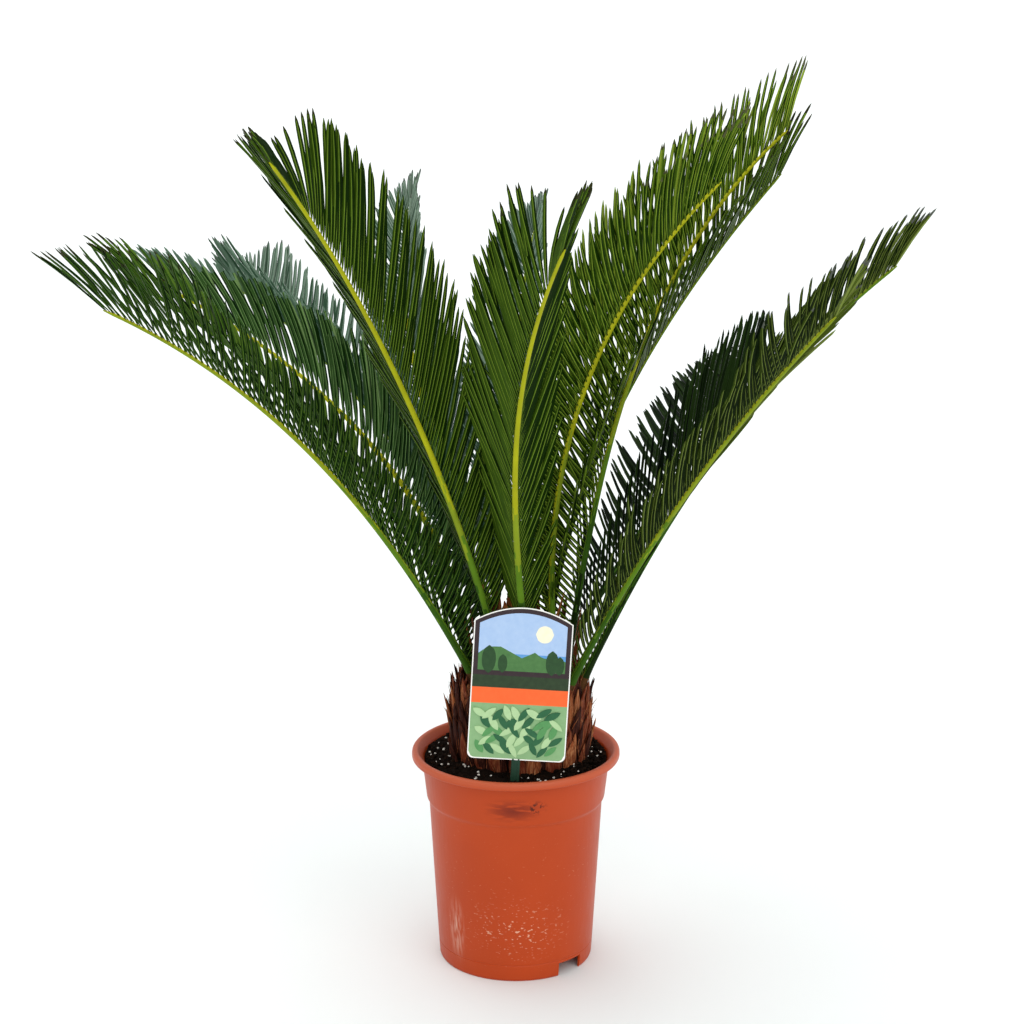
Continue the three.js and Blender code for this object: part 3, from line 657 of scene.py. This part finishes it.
def pot_shell():
    """The pot's closed wall: its section turned about Z, with the foot's wall left out at the notches
    and closed there by a ceiling and two sides."""
    notch_radius = lerp(FOOT_RADIUS, BODY_TOP_RADIUS, NOTCH_HEIGHT / COLLAR_FOOT)
    line_radius = lerp(FOOT_RADIUS, BODY_TOP_RADIUS, RING_LINE / COLLAR_FOOT)
    inner_foot = FOOT_RADIUS - WALL
    profile = rounded([
        (0, 0, 0),
        (DISC_RADIUS, 0, 1),
        (DISC_RADIUS + 3, FLOOR_RISE, 1),
        (inner_foot, FLOOR_RISE, 0.4),
        (inner_foot, NOTCH_HEIGHT, 0),
        (inner_foot, 0, 0.3),
        (FOOT_RADIUS - 0.9, 0, 0.3),
        (FOOT_RADIUS, 1.8, 1.2),
        (notch_radius, NOTCH_HEIGHT, 0),
        (line_radius, RING_LINE - 0.6, 0.2),
        (line_radius - 0.35, RING_LINE, 0.2),
        (line_radius + 0.1, RING_LINE + 0.6, 0.2),
        (BODY_TOP_RADIUS, COLLAR_FOOT - 3, 1.4),
        (COLLAR_FOOT_RADIUS, COLLAR_FOOT, 1.1),
        (COLLAR_TOP_RADIUS, RIM_FOOT, 0.8),
        (RIM_RADIUS - 0.7, RIM_FOOT, 0.7),
        (RIM_RADIUS, RIM_FOOT + 1.2, 0.8),
        (RIM_RADIUS - 0.1, POT_HEIGHT - 1.6, 1.3),
        (RIM_RADIUS - 1.6, POT_HEIGHT, 1.3),
        (MOUTH_RADIUS, POT_HEIGHT, 1.2),
        (COLLAR_TOP_RADIUS - WALL, RIM_FOOT, 2),
        (COLLAR_FOOT_RADIUS - WALL, COLLAR_FOOT + 2, 3),
        (BODY_TOP_RADIUS - WALL, COLLAR_FOOT - 4, 2),
        (inner_foot + 0.4, FLOOR_RISE + FLOOR, 0.8),
        (DISC_RADIUS + 3 - WALL, FLOOR_RISE + FLOOR, 0.8),
        (DISC_RADIUS - WALL, FLOOR, 0.8),
        (0, FLOOR, 0),
    ])
    points, sides, fans = lathe(profile, POT_FACETS, soft_plastic)
    rows = [int(np.argmin(np.hypot(profile[1:-1, 0] - radius, profile[1:-1, 1] - NOTCH_HEIGHT)))
            for radius in (inner_foot, notch_radius)]
    corner = np.arange(points.shape[0] - 2).reshape(-1, POT_FACETS)
    keep = np.ones(sides.shape[:2], bool)
    closing = []
    for azimuth in NOTCH_AZIMUTHS:
        middle = round(azimuth / 360 * POT_FACETS)
        columns = np.arange(middle - NOTCH_COLUMNS, middle + NOTCH_COLUMNS + 1) % POT_FACETS
        keep[rows[0] : rows[1], columns[:-1]] = False
        inner, outer = corner[rows[0], columns], corner[rows[1], columns]
        closing += np.stack([inner[:-1], inner[1:], outer[1:], outer[:-1]], axis=1).tolist()
        closing.append(corner[rows[0] : rows[1] + 1, columns[0]][::-1].tolist())
        closing.append(corner[rows[0] : rows[1] + 1, columns[-1]].tolist())
    return points, sides[keep].tolist() + fans + closing


def scuffed_terracotta():
    """Moulded polypropylene in terracotta orange, satin. Handling has left pale flecks and short
    scratches low on the front, a chalky streak of dried water to the left, and a smear and specks of peat
    under the rim. The rim grows paler towards its top."""
    made, tree, shader, place = finish("polypropylene_terracotta", 0.36, Specular_IOR_Level=0.24)
    colour = mix(tree, noise(tree, place, 14.0, 3.0), linear("#aa3a0c"), linear("#bc4411"))
    parts = add(tree, "ShaderNodeSeparateXYZ", {"Vector": place}).outputs

    def near(middle, reach):
        """1 at a place on the pot and 0 beyond its reach, from the distance in reaches."""
        moved = add(tree, "ShaderNodeMapping", {"Vector": place, "Location": middle, "Scale": reach},
                    vector_type="TEXTURE")
        far = add(tree, "ShaderNodeVectorMath", {0: moved.outputs[0]}, operation="LENGTH")
        share = add(tree, "ShaderNodeMapRange", {0: far.outputs["Value"], 1: 0.0, 2: 1.0, 3: 1.0, 4: 0.0},
                    interpolation_type="SMOOTHSTEP")
        return share.outputs[0]

    def over(value, low, high, top=1.0):
        """0 below low and top above high."""
        return ranged(tree, value, low, high, 0.0, top)

    def times(a, b):
        return add(tree, "ShaderNodeMath", {0: a, 1: b}, operation="MULTIPLY").outputs[0]

    # Flecks 1 to 2 mm across, some drawn out sideways, where the front has rubbed on its neighbours.
    fleck = drawn_noise(tree, place, (330.0, 330.0, 620.0), 1.0, 0.5)
    flecks = times(over(fleck, 0.63, 0.7, 0.6), near((0.0, -0.066, 0.045), (0.056, 0.05, 0.036)))
    wide_flecks = times(over(fleck, 0.7, 0.75, 0.5), near((0.0, 0.0, 0.07), (0.16, 0.16, 0.1)))
    # The streak: a film broken up by fine vertical grain.
    film = drawn_noise(tree, place, (420.0, 420.0, 70.0), 3.0)
    streak = times(over(film, 0.38, 0.66, 0.6), near((-0.048, -0.044, 0.038), (0.01, 0.014, 0.036)))
    # The rim grows paler towards its top.
    rim = over(parts["Z"], 0.1725, 0.1795, 0.16)
    # The smear, in level stripes, and the specks at its right end.
    stripes = drawn_noise(tree, place, (60.0, 60.0, 420.0), 2.0)
    smear = times(over(stripes, 0.4, 0.52), near((-0.002, -0.074, 0.153), (0.03, 0.02, 0.013)))
    speck = noise(tree, place, 420.0, 1.0)
    specks = times(over(speck, 0.56, 0.62), near((0.016, -0.074, 0.155), (0.012, 0.02, 0.008)))
    for share, tone in ((rim, "#e0a184"), (smear, "#7c2408"), (streak, "#e3bda9"),
                        (wide_flecks, "#cf8a68"), (flecks, "#ecc3a6"), (specks, "#240a04")):
        colour = mix(tree, share, colour, linear(tone))
    tree.links.new(colour, shader.inputs["Base Color"])
    tree.links.new(ranged(tree, film, 0.3, 0.7, 0.36, 0.46), shader.inputs["Roughness"])
    bumped(tree, shader, noise(tree, place, 55.0, 4.0), 0.2, 0.0008)
    return made


pot_points, pot_faces = pot_shell()
pot = piece("pot_moulded", pot_points, pot_faces, [scuffed_terracotta()], replaces=["pot"])
pot.data.set_sharp_from_angle(angle=math.radians(40))

# ---------------------------------------------------------------------------------------------
# Peat, with perlite.

PEAT_RINGS = 34
PEAT_FACETS = 150
CRUMB_CORNERS = 6


def peat_rise(x, y):
    """How far above its level the peat is, which grows towards the trunk."""
    from_trunk = np.hypot(x - TRUNK_FOOT_X, y) - TRUNK_RADIUS
    return 1.2 + 3.5 * np.exp(-np.maximum(from_trunk, 0) / 7)


def peat_surface():
    """Peat that fills the pot: its sides follow the wall, and its top is a disc of rings with a random
    relief, which rises a little towards the trunk."""
    own = np.random.default_rng(5)
    top = [(radius, SOIL_TOP) for radius in np.linspace(SOIL_RADIUS - 0.3, 1.5, PEAT_RINGS)]
    profile = np.array([
        (0, FLOOR_RISE + 3),
        (FOOT_RADIUS - WALL - 0.5, FLOOR_RISE + 3),
        (BODY_TOP_RADIUS - WALL - 0.6, COLLAR_FOOT - 4),
        (COLLAR_FOOT_RADIUS - WALL - 0.6, COLLAR_FOOT + 2),
        *top,
        (0, SOIL_TOP),
    ])

    def lumpy(radius, height, azimuth):
        x, y = radius * np.cos(azimuth), radius * np.sin(azimuth)
        coarse = ripples(own, 24, 0.12, x, y)
        fine = ripples(own, 40, 0.75, x, y)
        rise = peat_rise(x, y) + 0.9 * coarse + 0.7 * fine
        rise = rise * smoothstep(SOIL_RADIUS - radius, -1, 4)
        return radius, np.where(height >= SOIL_TOP, height + rise, height)

    points, sides, fans = lathe(profile, PEAT_FACETS, lumpy)
    return points, sides.reshape(-1, 4).tolist() + fans


def crumbs(own, middles, sizes, flatness):
    """Small closed lumps: five rings whose radii follow the sine of the angle from one end to the other,
    each corner in or out at random, turned at random and flattened upwards."""
    count = len(middles)
    polar = np.radians([12, 50, 90, 130, 168])
    angle = np.arange(CRUMB_CORNERS) * 2 * math.pi / CRUMB_CORNERS
    rough = own.uniform(0.72, 1.12, (count, len(polar), CRUMB_CORNERS))
    rings = np.stack([
        rough * np.sin(polar)[:, None] * np.cos(angle),
        rough * np.sin(polar)[:, None] * np.sin(angle),
        rough * -np.cos(polar)[:, None],
    ], axis=-1)
    turns = np.linalg.qr(own.normal(0, 1, (count, 3, 3)))[0]
    turns *= np.sign(np.linalg.det(turns))[:, None, None]
    rings = np.einsum("nij,nrcj->nrci", turns, rings) * sizes[:, None, None, None]
    rings[..., 2] *= flatness
    return rings + middles[:, None, None]


def scattered(own, count, inner, outer, lift):
    """Random places on the peat between two radii, clear of the trunk."""
    radius = np.sqrt(own.uniform(inner**2, outer**2, count * 3))
    azimuth = own.uniform(0, 2 * math.pi, count * 3)
    x, y = radius * np.cos(azimuth), radius * np.sin(azimuth)
    clear = np.hypot(x - TRUNK_FOOT_X, y) > TRUNK_RADIUS - 2
    x, y = x[clear][:count], y[clear][:count]
    return np.stack([x, y, SOIL_TOP + peat_rise(x, y) + lift], axis=-1)


def peat(name, colour, shade):
    """Moist sphagnum peat: nearly black brown, matt, in crumbs of 1 to 4 mm with finer dust."""
    made, tree, shader, place = finish(name, 0.95, Specular_IOR_Level=0.05)
    grit = noise(tree, place, 450.0, 4.0)
    tree.links.new(mix(tree, grit, linear(colour), linear(shade)), shader.inputs["Base Color"])
    bumped(tree, shader, grit, 0.9, 0.002)
    return made


peat_points, peat_faces = peat_surface()
piece("peat_surface", peat_points, peat_faces, [peat("peat_moist", "#090604", "#1e140e")],
      replaces=["soil"])
lumps = np.random.default_rng(6)
crumb_places = scattered(lumps, 1100, 40, SOIL_RADIUS - 2, 0.2)
crumb_rings = crumbs(lumps, crumb_places, lumps.uniform(0.7, 2.3, len(crumb_places)), 0.8)
points, faces, place = tubes(crumb_rings)
peat_kinds = (lumps.uniform(0, 1, len(crumb_rings)) > 0.75).astype(int)[place[:, 0]]
piece("peat_crumbs", points, faces,
      [peat("peat_crumb_dark", "#0c0805", "#1a110c"), peat("peat_crumb_brown", "#2c1c12", "#150d09")],
      kinds=peat_kinds)


def perlite():
    """Expanded perlite: white, chalky, pitted grains of 1 to 3 mm."""
    made, tree, shader, place = finish("perlite_white", 0.85)
    pits = add(tree, "ShaderNodeTexVoronoi", {"Vector": place, "Scale": 900.0}).outputs["Distance"]
    tree.links.new(mix(tree, pits, linear("#b9b2a4"), linear("#f2efe8")), shader.inputs["Base Color"])
    bumped(tree, shader, pits, 0.6, 0.0008)
    return made


grain_places = scattered(lumps, 85, 48, SOIL_RADIUS - 4, 1.0)
grain_rings = crumbs(lumps, grain_places, lumps.uniform(0.5, 1.35, len(grain_places)), 0.85)
points, faces, _ = tubes(grain_rings)
piece("perlite_grains", points, faces, [perlite()])

# ---------------------------------------------------------------------------------------------
# Trunk, with its leaf bases, sheaths and fibres.

TRUNK_FACETS = 144
SCALE_STATIONS = np.array([0, 0.22, 0.45, 0.68, 0.86, 1])
SCALE_WIDTHS = np.array([0.85, 1, 0.95, 0.72, 0.4, 0.05])
SCALE_DEPTHS = np.array([1, 1, 0.85, 0.65, 0.45, 0.1])
# Corners of a leaf base's section, in half widths across and depths out: a blunt back and a flat front.
SCALE_SECTION = np.array([(-1, 0), (-0.55, -0.45), (0.55, -0.45), (1, 0), (0.5, 0.55), (-0.5, 0.55)])


def trunk_middle(height):
    """How far right of the pot's axis the trunk's middle is, which grows evenly with height."""
    return lerp(TRUNK_FOOT_X, CROWN_X, (height - TRUNK_FOOT) / (CROWN_TOP - TRUNK_FOOT))


def trunk_radius(height):
    """The trunk's radius without its scales: even, and drawn in towards the crown."""
    return lerp(TRUNK_RADIUS - 2, TRUNK_RADIUS - 13, smoothstep(height, 205, 252))


def bark_core():
    """The trunk under its scales: its section turned about Z, moved right with height, and fluted by
    upright random ridges."""
    own = np.random.default_rng(7)
    side = [(trunk_radius(height), height) for height in np.arange(TRUNK_FOOT + 1, 246, 2.2)]
    dome = [(radius, crown_height(radius) - 2) for radius in np.arange(42, 1, -4.0)]
    profile = np.array([(0, TRUNK_FOOT), (TRUNK_RADIUS - 4, TRUNK_FOOT), *side, *dome, (0, CROWN_TOP - 2)])

    def fluted(radius, height, azimuth):
        arc = azimuth * TRUNK_RADIUS
        edge = np.minimum(azimuth, 2 * math.pi - azimuth) * TRUNK_RADIUS
        ridges = ripples(own, 60, 1.0, arc, height * 0.12)
        other = ripples(own, 60, 1.0, arc - 2 * math.pi * TRUNK_RADIUS, height * 0.12)
        ridges = lerp(other, ridges, smoothstep(edge, 0, 8))
        return radius + 1.3 * ridges * smoothstep(radius, 20, 50), height

    points, sides, fans = lathe(profile, TRUNK_FACETS, fluted)
    points[:, 0] += trunk_middle(points[:, 2])
    return points, sides.reshape(-1, 4).tolist() + fans


def scales(own, foot, azimuth, lean, length, width, depth, curl):
    """Pointed leaf bases: a blunt six-cornered section carried from each foot up a path that leans out
    and curls, and narrows to a point. Returns the section rings."""
    out = np.stack([np.cos(azimuth), np.sin(azimuth), np.zeros_like(azimuth)], axis=-1)
    across = np.stack([-np.sin(azimuth), np.cos(azimuth), np.zeros_like(azimuth)], axis=-1)
    sideways = own.normal(0, 0.09, len(azimuth))
    along = UP * np.cos(lean)[:, None] + out * np.sin(lean)[:, None] + across * sideways[:, None]
    through = out * np.cos(lean)[:, None] - UP * np.sin(lean)[:, None]
    t = SCALE_STATIONS[None, :, None]
    middle = foot[:, None] + along[:, None] * (t * length[:, None, None])
    middle = middle + out[:, None] * (curl * length)[:, None, None] * t**2
    ragged = own.uniform(0.8, 1.15, (len(azimuth), len(SCALE_STATIONS)))
    half = width[:, None] / 2 * SCALE_WIDTHS * ragged
    thick = depth[:, None] * SCALE_DEPTHS
    return (
        middle[:, :, None]
        - across[:, None, None] * (half[..., None] * SCALE_SECTION[:, 0])[..., None]
        + through[:, None, None] * (thick[..., None] * SCALE_SECTION[:, 1])[..., None]
    )


def fibrous_bark(name, colour, shade, streak):
    """Dead cycad leaf bases: dry, matt, reddish brown, with upright fibres. The fibres are 0.3 mm wide
    on the real one, and drawn 1 mm wide so that they show."""
    made, tree, shader, place = finish(name, 0.8, Specular_IOR_Level=0.1)
    fibre = drawn_noise(tree, place, (900.0, 900.0, 60.0), 2.0)
    base = mix(tree, noise(tree, place, 90.0, 2.0), linear(colour), linear(shade))
    share = ranged(tree, fibre, 0.45, 0.7, 0.0, 0.8)
    tree.links.new(mix(tree, share, base, linear(streak)), shader.inputs["Base Color"])
    bumped(tree, shader, fibre, 0.8, 0.0015)
    return made


bark_finishes = [
    fibrous_bark("leaf_base_dark", "#1a0603", "#34120a", "#522a1c"),
    fibrous_bark("leaf_base_red", "#52200f", "#6e2c16", "#90583a"),
    fibrous_bark("leaf_base_tan", "#96522c", "#6a3018", "#bc8458"),
]
core_points, core_faces = bark_core()
piece("trunk_bark", core_points, core_faces, [bark_finishes[0]], replaces=["trunk"])

SCALE_ROWS = 9
SCALES_PER_ROW = 23
LAST_SCALE_ROW = 224
SCALE_TONE_STEPS = (0.4, 0.82)
bark = np.random.default_rng(8)
row_number = np.repeat(np.arange(SCALE_ROWS), SCALES_PER_ROW)
turn = (np.tile(np.arange(SCALES_PER_ROW), SCALE_ROWS) + row_number * 0.5) / SCALES_PER_ROW
azimuth = turn * 2 * math.pi + bark.normal(0, 0.04, len(turn))
height = lerp(TRUNK_FOOT - 3, LAST_SCALE_ROW, row_number / (SCALE_ROWS - 1))
height = height + bark.normal(0, 2.0, len(turn))
radius = trunk_radius(height) - 0.5
foot = np.stack([trunk_middle(height) + radius * np.cos(azimuth), radius * np.sin(azimuth), height],
                axis=-1)
lean = np.radians(lerp(7, -4, smoothstep(height, 195, 225)) + bark.normal(0, 3, len(turn)))
length, width = bark.uniform(24, 36, len(turn)), bark.uniform(10, 15, len(turn))
depth, curl = bark.uniform(2.4, 3.6, len(turn)), bark.uniform(-0.05, 0.08, len(turn))
scale_rings = scales(bark, foot, azimuth, lean, length, width, depth, curl)
scale_rings = scale_rings[~by_card(scale_rings, 1).any(axis=(1, 2))]
points, faces, place = tubes(scale_rings)
scale_kinds = np.digitize(bark.uniform(0, 1, len(scale_rings)), SCALE_TONE_STEPS)[place[:, 0]]
piece("trunk_leaf_bases", points, faces, bark_finishes, kinds=scale_kinds)


def stem_distance(points, sample=40):
    """The distance from each point to the nearest stem's middle line."""
    line = np.concatenate([stem_points(frond, np.linspace(0, 0.2, sample)) for frond in FRONDS])
    return np.linalg.norm(points[:, None] - line[None], axis=2).min(axis=1)


# Rings of sheaths between the stems: how far each ring is from the crown's middle, how many sheaths it
# has, and their length.
SHEATH_RINGS = ((8, 4, 70), (20, 10, 72), (32, 14, 58), (43, 17, 44), (50, 26, 26))
# Beyond this distance a sheath is in the outermost ring.
OUTERMOST_FROM = 46.5
SHEATH_CLEARANCE = 7.5
sheath = np.random.default_rng(9)
ring, count, reach = np.array(SHEATH_RINGS).T
distance, reach = np.repeat(ring, count).astype(float), np.repeat(reach, count).astype(float)
turn = np.concatenate([(np.arange(n) + 0.5 * (r % 2)) / n for r, n in zip(ring, count)])
azimuth = turn * 2 * math.pi + sheath.normal(0, 0.1, len(turn))
distance = distance + sheath.normal(0, 1.5, len(turn))
foot = np.stack([CROWN_X + distance * np.cos(azimuth), distance * np.sin(azimuth),
                 crown_height(distance) - 8], axis=-1)
lean = np.radians(distance / 4 + sheath.normal(0, 4, len(turn)))
clear = stem_distance(foot + UP * 10) > SHEATH_CLEARANCE
length = reach * sheath.uniform(0.75, 1.2, len(turn))
width = np.maximum(length * sheath.uniform(0.17, 0.25, len(turn)), 8)
sheath_rings = scales(sheath, foot[clear], azimuth[clear], lean[clear], length[clear], width[clear],
                      np.full(clear.sum(), 2.2), np.full(clear.sum(), 0.03))
beside = ~by_card(sheath_rings, 2).any(axis=(1, 2))
sheath_rings = sheath_rings[beside]
points, faces, place = tubes(sheath_rings)
sheath_finishes = [
    bark_finishes[0],
    bark_finishes[1],
    fibrous_bark("sheath_brown", "#6e3a1c", "#4c2412", "#8c542e"),
    fibrous_bark("sheath_orange", "#8f4d22", "#703a1a", "#b07840"),
]
# The outermost ring is dark and weathered, and the rings within it are younger and more orange.
outermost = distance[clear][beside] > OUTERMOST_FROM
sheath_kinds = sheath.integers(0, 2, len(sheath_rings)) + np.where(outermost, 0, 2)
sheath_kinds = sheath_kinds[place[:, 0]]
piece("crown_sheaths", points, faces, sheath_finishes, kinds=sheath_kinds)

FIBRES = 900
hair = np.random.default_rng(10)
azimuth = hair.uniform(0, 2 * math.pi, FIBRES)
height = hair.uniform(TRUNK_FOOT + 2, 238, FIBRES)
radius = trunk_radius(height) + hair.uniform(0.5, 2.5, FIBRES)
out = np.stack([np.cos(azimuth), np.sin(azimuth), np.zeros(FIBRES)], axis=-1)
across = np.cross(UP, out)
foot = out * radius[:, None] + UP * height[:, None]
foot[:, 0] += trunk_middle(height)
heading = UP + out * hair.normal(0.1, 0.12, FIBRES)[:, None]
heading = heading + across * hair.normal(0, 0.25, FIBRES)[:, None]
length = hair.uniform(7, 19, FIBRES)
t = np.array([0, 0.4, 0.75, 1])[None, :, None]
bend = out * hair.normal(0.02, 0.06, FIBRES)[:, None] + across * hair.normal(0, 0.12, FIBRES)[:, None]
middle = foot[:, None] + (heading[:, None] * t + bend[:, None] * t**2) * length[:, None, None]
thick = hair.uniform(0.28, 0.5, FIBRES)[:, None] * np.array([1, 0.9, 0.6, 0.15])
angle = np.radians([0, 120, 240])
hair_rings = (
    middle[:, :, None]
    - across[:, None, None] * (thick[..., None] * np.cos(angle))[..., None]
    + out[:, None, None] * (thick[..., None] * np.sin(angle))[..., None]
)
points, faces, place = tubes(hair_rings)
hair_kinds = hair.integers(0, 2, FIBRES)[place[:, 0]]
piece("trunk_fibres", points, faces, [bark_finishes[1], bark_finishes[2]], kinds=hair_kinds)

# ---------------------------------------------------------------------------------------------
# Plant label. Its places are across and up the card, in millimetres from the middle of its foot.

CARD_FRONT = LABEL_THICKNESS / 2
PRINT_STEP = 0.02


def strips(centres, across, low, high):
    """Flat closed strips along lines on the card: the section is the line's place plus and minus across,
    from one depth to another. across points left of the way along the line."""
    left, right = centres + across, centres - across
    corners = [
        np.concatenate([edge, np.full(edge.shape[:-1] + (1,), depth)], axis=-1)
        for edge, depth in ((right, low), (left, low), (left, high), (right, high))
    ]
    points, faces, place = tubes(np.stack(corners, axis=2))
    return off_label(points), faces, place


def arch(x):
    """Height of the card's arched top, which falls with the square of the distance from its middle."""
    return LABEL_SHOULDER + LABEL_ARCH * (1 - (x / LABEL_HALF) ** 2)


def foot_curve(x):
    """Height of the card's foot, with rounded corners."""
    past = np.clip(np.abs(x) - (LABEL_HALF - LABEL_CORNER), 0, LABEL_CORNER)
    return LABEL_CORNER - np.sqrt(LABEL_CORNER**2 - past**2)


def between(x, bottom, top, low, high):
    """A strip that fills the card between two heights, which are arrays over x."""
    centre = np.stack([x, (bottom + top) / 2], axis=-1)
    half = np.stack([np.zeros_like(x), (top - bottom) / 2], axis=-1)
    return strips(centre[None], half[None], low, high)


def printed(name, colour, shade):
    """Print on plastic card: even colour with a trace of mottle, and a slight sheen."""
    made, tree, shader, place = finish(name, 0.5, Specular_IOR_Level=0.25)
    mottle = noise(tree, place, 240.0, 2.0)
    tree.links.new(mix(tree, mottle, linear(colour), linear(shade)), shader.inputs["Base Color"])
    return made


PRINT_INKS = {
    "frame": ("#2b2024", "#3b2c30"),
    "sky": ("#9dbbe4", "#b4cbea"),
    "sun": ("#f6edc8", "#fbf5de"),
    "lake": ("#4f8fce", "#6ba3d8"),
    "hill": ("#3d6a38", "#55824a"),
    "bush": ("#1f3d20", "#2e522c"),
    "strip": ("#1f2f1c", "#32462a"),
    "band": ("#f0602a", "#f46c34"),
    "panel": ("#7fa674", "#8db482"),
    "leaf_light": ("#a3c690", "#b4d2a0"),
    "leaf_middle": ("#4d8a50", "#5d9a5e"),
    "leaf_dark": ("#245a38", "#2f6844"),
}
INKS = list(PRINT_INKS)
# The widths of the card's plain edge and of the edge round its picture, and heights up the card.
EDGE = 0.9
WINDOW = 4.5
PANEL_TOP = 46
BAND_TOP = 59
STRIP_TOP = 69
SKY_FOOT = 73
LAKE_TOP = 87


def label_print():
    """The card's picture, in layers: a framed view of hills by a lake, a dark strip, an orange band, and a
    panel of scattered oval leaves."""
    own = np.random.default_rng(11)
    parts, level = [], [0]

    def layer(make, ink):
        high = CARD_FRONT + PRINT_STEP * (level[0] + 1)
        points, faces, _ = make(CARD_FRONT - 0.05, high)
        parts.append((points, faces, np.full(len(faces), INKS.index(ink))))
        level[0] += 1

    def fill(x, bottom, top):
        """What fills the card over x from one height to another, each a number or an array over x."""
        even = np.ones_like(x)
        return lambda low, high: between(x, bottom * even, top * even, low, high)

    inside = LABEL_HALF - EDGE
    x = np.linspace(-inside, inside, 41)
    layer(fill(x, foot_curve(x * LABEL_HALF / inside) + EDGE, PANEL_TOP), "panel")
    layer(fill(x, PANEL_TOP, BAND_TOP), "band")
    layer(fill(x, BAND_TOP, STRIP_TOP), "strip")
    layer(fill(x, STRIP_TOP, arch(x) - EDGE), "frame")
    w = np.linspace(-LABEL_HALF + WINDOW, LABEL_HALF - WINDOW, 49)
    layer(fill(w, SKY_FOOT, arch(w) - WINDOW), "sky")

    def oval(x0, y0, half_length, half_width, turn, power=0.5):
        t = np.linspace(-1, 1, 9)
        direction = np.array([math.cos(turn), math.sin(turn)])
        left = np.array([-direction[1], direction[0]])
        centre = np.array([x0, y0]) + t[:, None] * half_length * direction
        wide = half_width * np.maximum(1 - t**2, 0.004) ** power
        return lambda low, high: strips(centre[None], (wide[:, None] * left)[None], low, high)

    layer(oval(17, 104, 7, 7, 0), "sun")
    layer(fill(w, SKY_FOOT, LAKE_TOP), "lake")
    hills = 89 + 7 * np.cos(w / 13 + 0.6) + 2 * np.cos(w / 4.6)
    layer(fill(w, SKY_FOOT, np.minimum(hills, 84 + 0.5 * np.abs(w))), "hill")
    for x0, size in ((-26, 9), (-15, 6), (24, 8), (30, 6)):
        layer(oval(x0, SKY_FOOT + size, size * 1.25, size * 0.62, math.pi / 2), "bush")
    for row in range(5):
        for column in range(9):
            x0 = lerp(-30, 30, (column + 0.5 * (row % 2)) / 8.5) + own.normal(0, 0.8)
            y0 = lerp(9, 38, row / 4) + own.normal(0, 0.8)
            turn = math.radians(own.choice([35, 55, 125, 145]) + own.normal(0, 6))
            ink = INKS[INKS.index("leaf_light") + int(own.integers(0, 3))]
            layer(oval(x0, y0, own.uniform(6, 7.5), own.uniform(2.2, 3), turn, 0.8), ink)
    return joined(parts)


def label_card():
    """The card, from its foot with rounded corners to its arched top."""
    x = LABEL_HALF * np.sin(np.linspace(-math.pi / 2, math.pi / 2, 61))
    return between(x, foot_curve(x), arch(x), -CARD_FRONT, CARD_FRONT)


def label_stake():
    """The stake: a flat strip that ends in a point, with two ribs that stand out on both sides."""
    parts = []
    reach = STAKE_LENGTH - LABEL_CORNER
    for x0, half, thick in ((0, 3.5, 0.35), (-2.3, 0.6, 1.0), (2.3, 0.6, 1.0)):
        y = np.array([1.0, -reach + 3, -reach - 1, -STAKE_LENGTH + 0.5])
        wide = half * np.array([1, 1, 0.75, 0.12])
        centre = np.stack([x0 * np.array([1, 1, 0.8, 0.1]), y], axis=-1)
        across = np.stack([wide, np.zeros(4)], axis=-1)
        parts.append(strips(centre[None], across[None], -thick, thick))
    return joined(parts)


points, faces, _ = label_card()
piece("label_card", points, faces, [printed("card_white", "#f3f2ec", "#fafaf6")],
      smooth=False, replaces=["plant_label"])
points, faces, kinds = label_print()
piece("label_picture", points, faces, [printed(f"ink_{ink}", *PRINT_INKS[ink]) for ink in INKS],
      kinds=kinds, smooth=False)
points, faces, _ = label_stake()
piece("label_stake", points, faces, [printed("stake_green", "#10301f", "#1a4230")], smooth=False)

# ---------------------------------------------------------------------------------------------
# Camera, light and floor.

floor_mesh = bpy.data.meshes.new("floor")
floor_mesh.from_pydata([(-20, -20, 0), (20, -20, 0), (20, 20, 0), (-20, 20, 0)], [], [(0, 1, 2, 3)])
floor = bpy.data.objects.new("floor", floor_mesh)
bpy.context.scene.collection.objects.link(floor)
floor_finish, _, floor_shader, _ = finish("pale_floor", 0.9)
floor_shader.inputs["Base Color"].default_value = (0.81, 0.845, 0.84, 1)
floor_mesh.materials.append(floor_finish)

camera = bpy.data.objects.new("camera", bpy.data.cameras.new("camera"))
camera.location = (-0.003, -2.0, 0.925)
camera.rotation_euler = (math.radians(90 - 15.25), 0, 0)
camera.data.lens = 91.05
camera.data.sensor_width = 36
bpy.context.scene.collection.objects.link(camera)
bpy.context.scene.camera = camera
bpy.context.scene.view_settings.view_transform = "Standard"

# Broad lamps far off, which light the floor evenly: where each stands, how wide it looks in degrees,
# and its strength.
LAMPS = [
    ("key", (-0.4, 0.6, 2.6), 60, 1.7),
    ("fill", (0.8, -1.8, 1.2), 70, 1.05),
]
for name, place, breadth, strength in LAMPS:
    lamp = bpy.data.objects.new(name, bpy.data.lights.new(name, "SUN"))
    lamp.data.angle = math.radians(breadth)
    lamp.data.energy = strength
    lamp.location = place
    yaw = math.atan2(-place[1], -place[0]) - math.pi / 2
    pitch = math.atan2(-place[2], math.hypot(place[0], place[1]))
    lamp.rotation_euler = (math.pi / 2 + pitch, 0, yaw)
    bpy.context.scene.collection.objects.link(lamp)

world = bpy.data.worlds.new("studio")
world.use_nodes = True
world.node_tree.nodes["Background"].inputs["Color"].default_value = (1, 1, 1, 1)
world.node_tree.nodes["Background"].inputs["Strength"].default_value = 0.72
bpy.context.scene.world = world
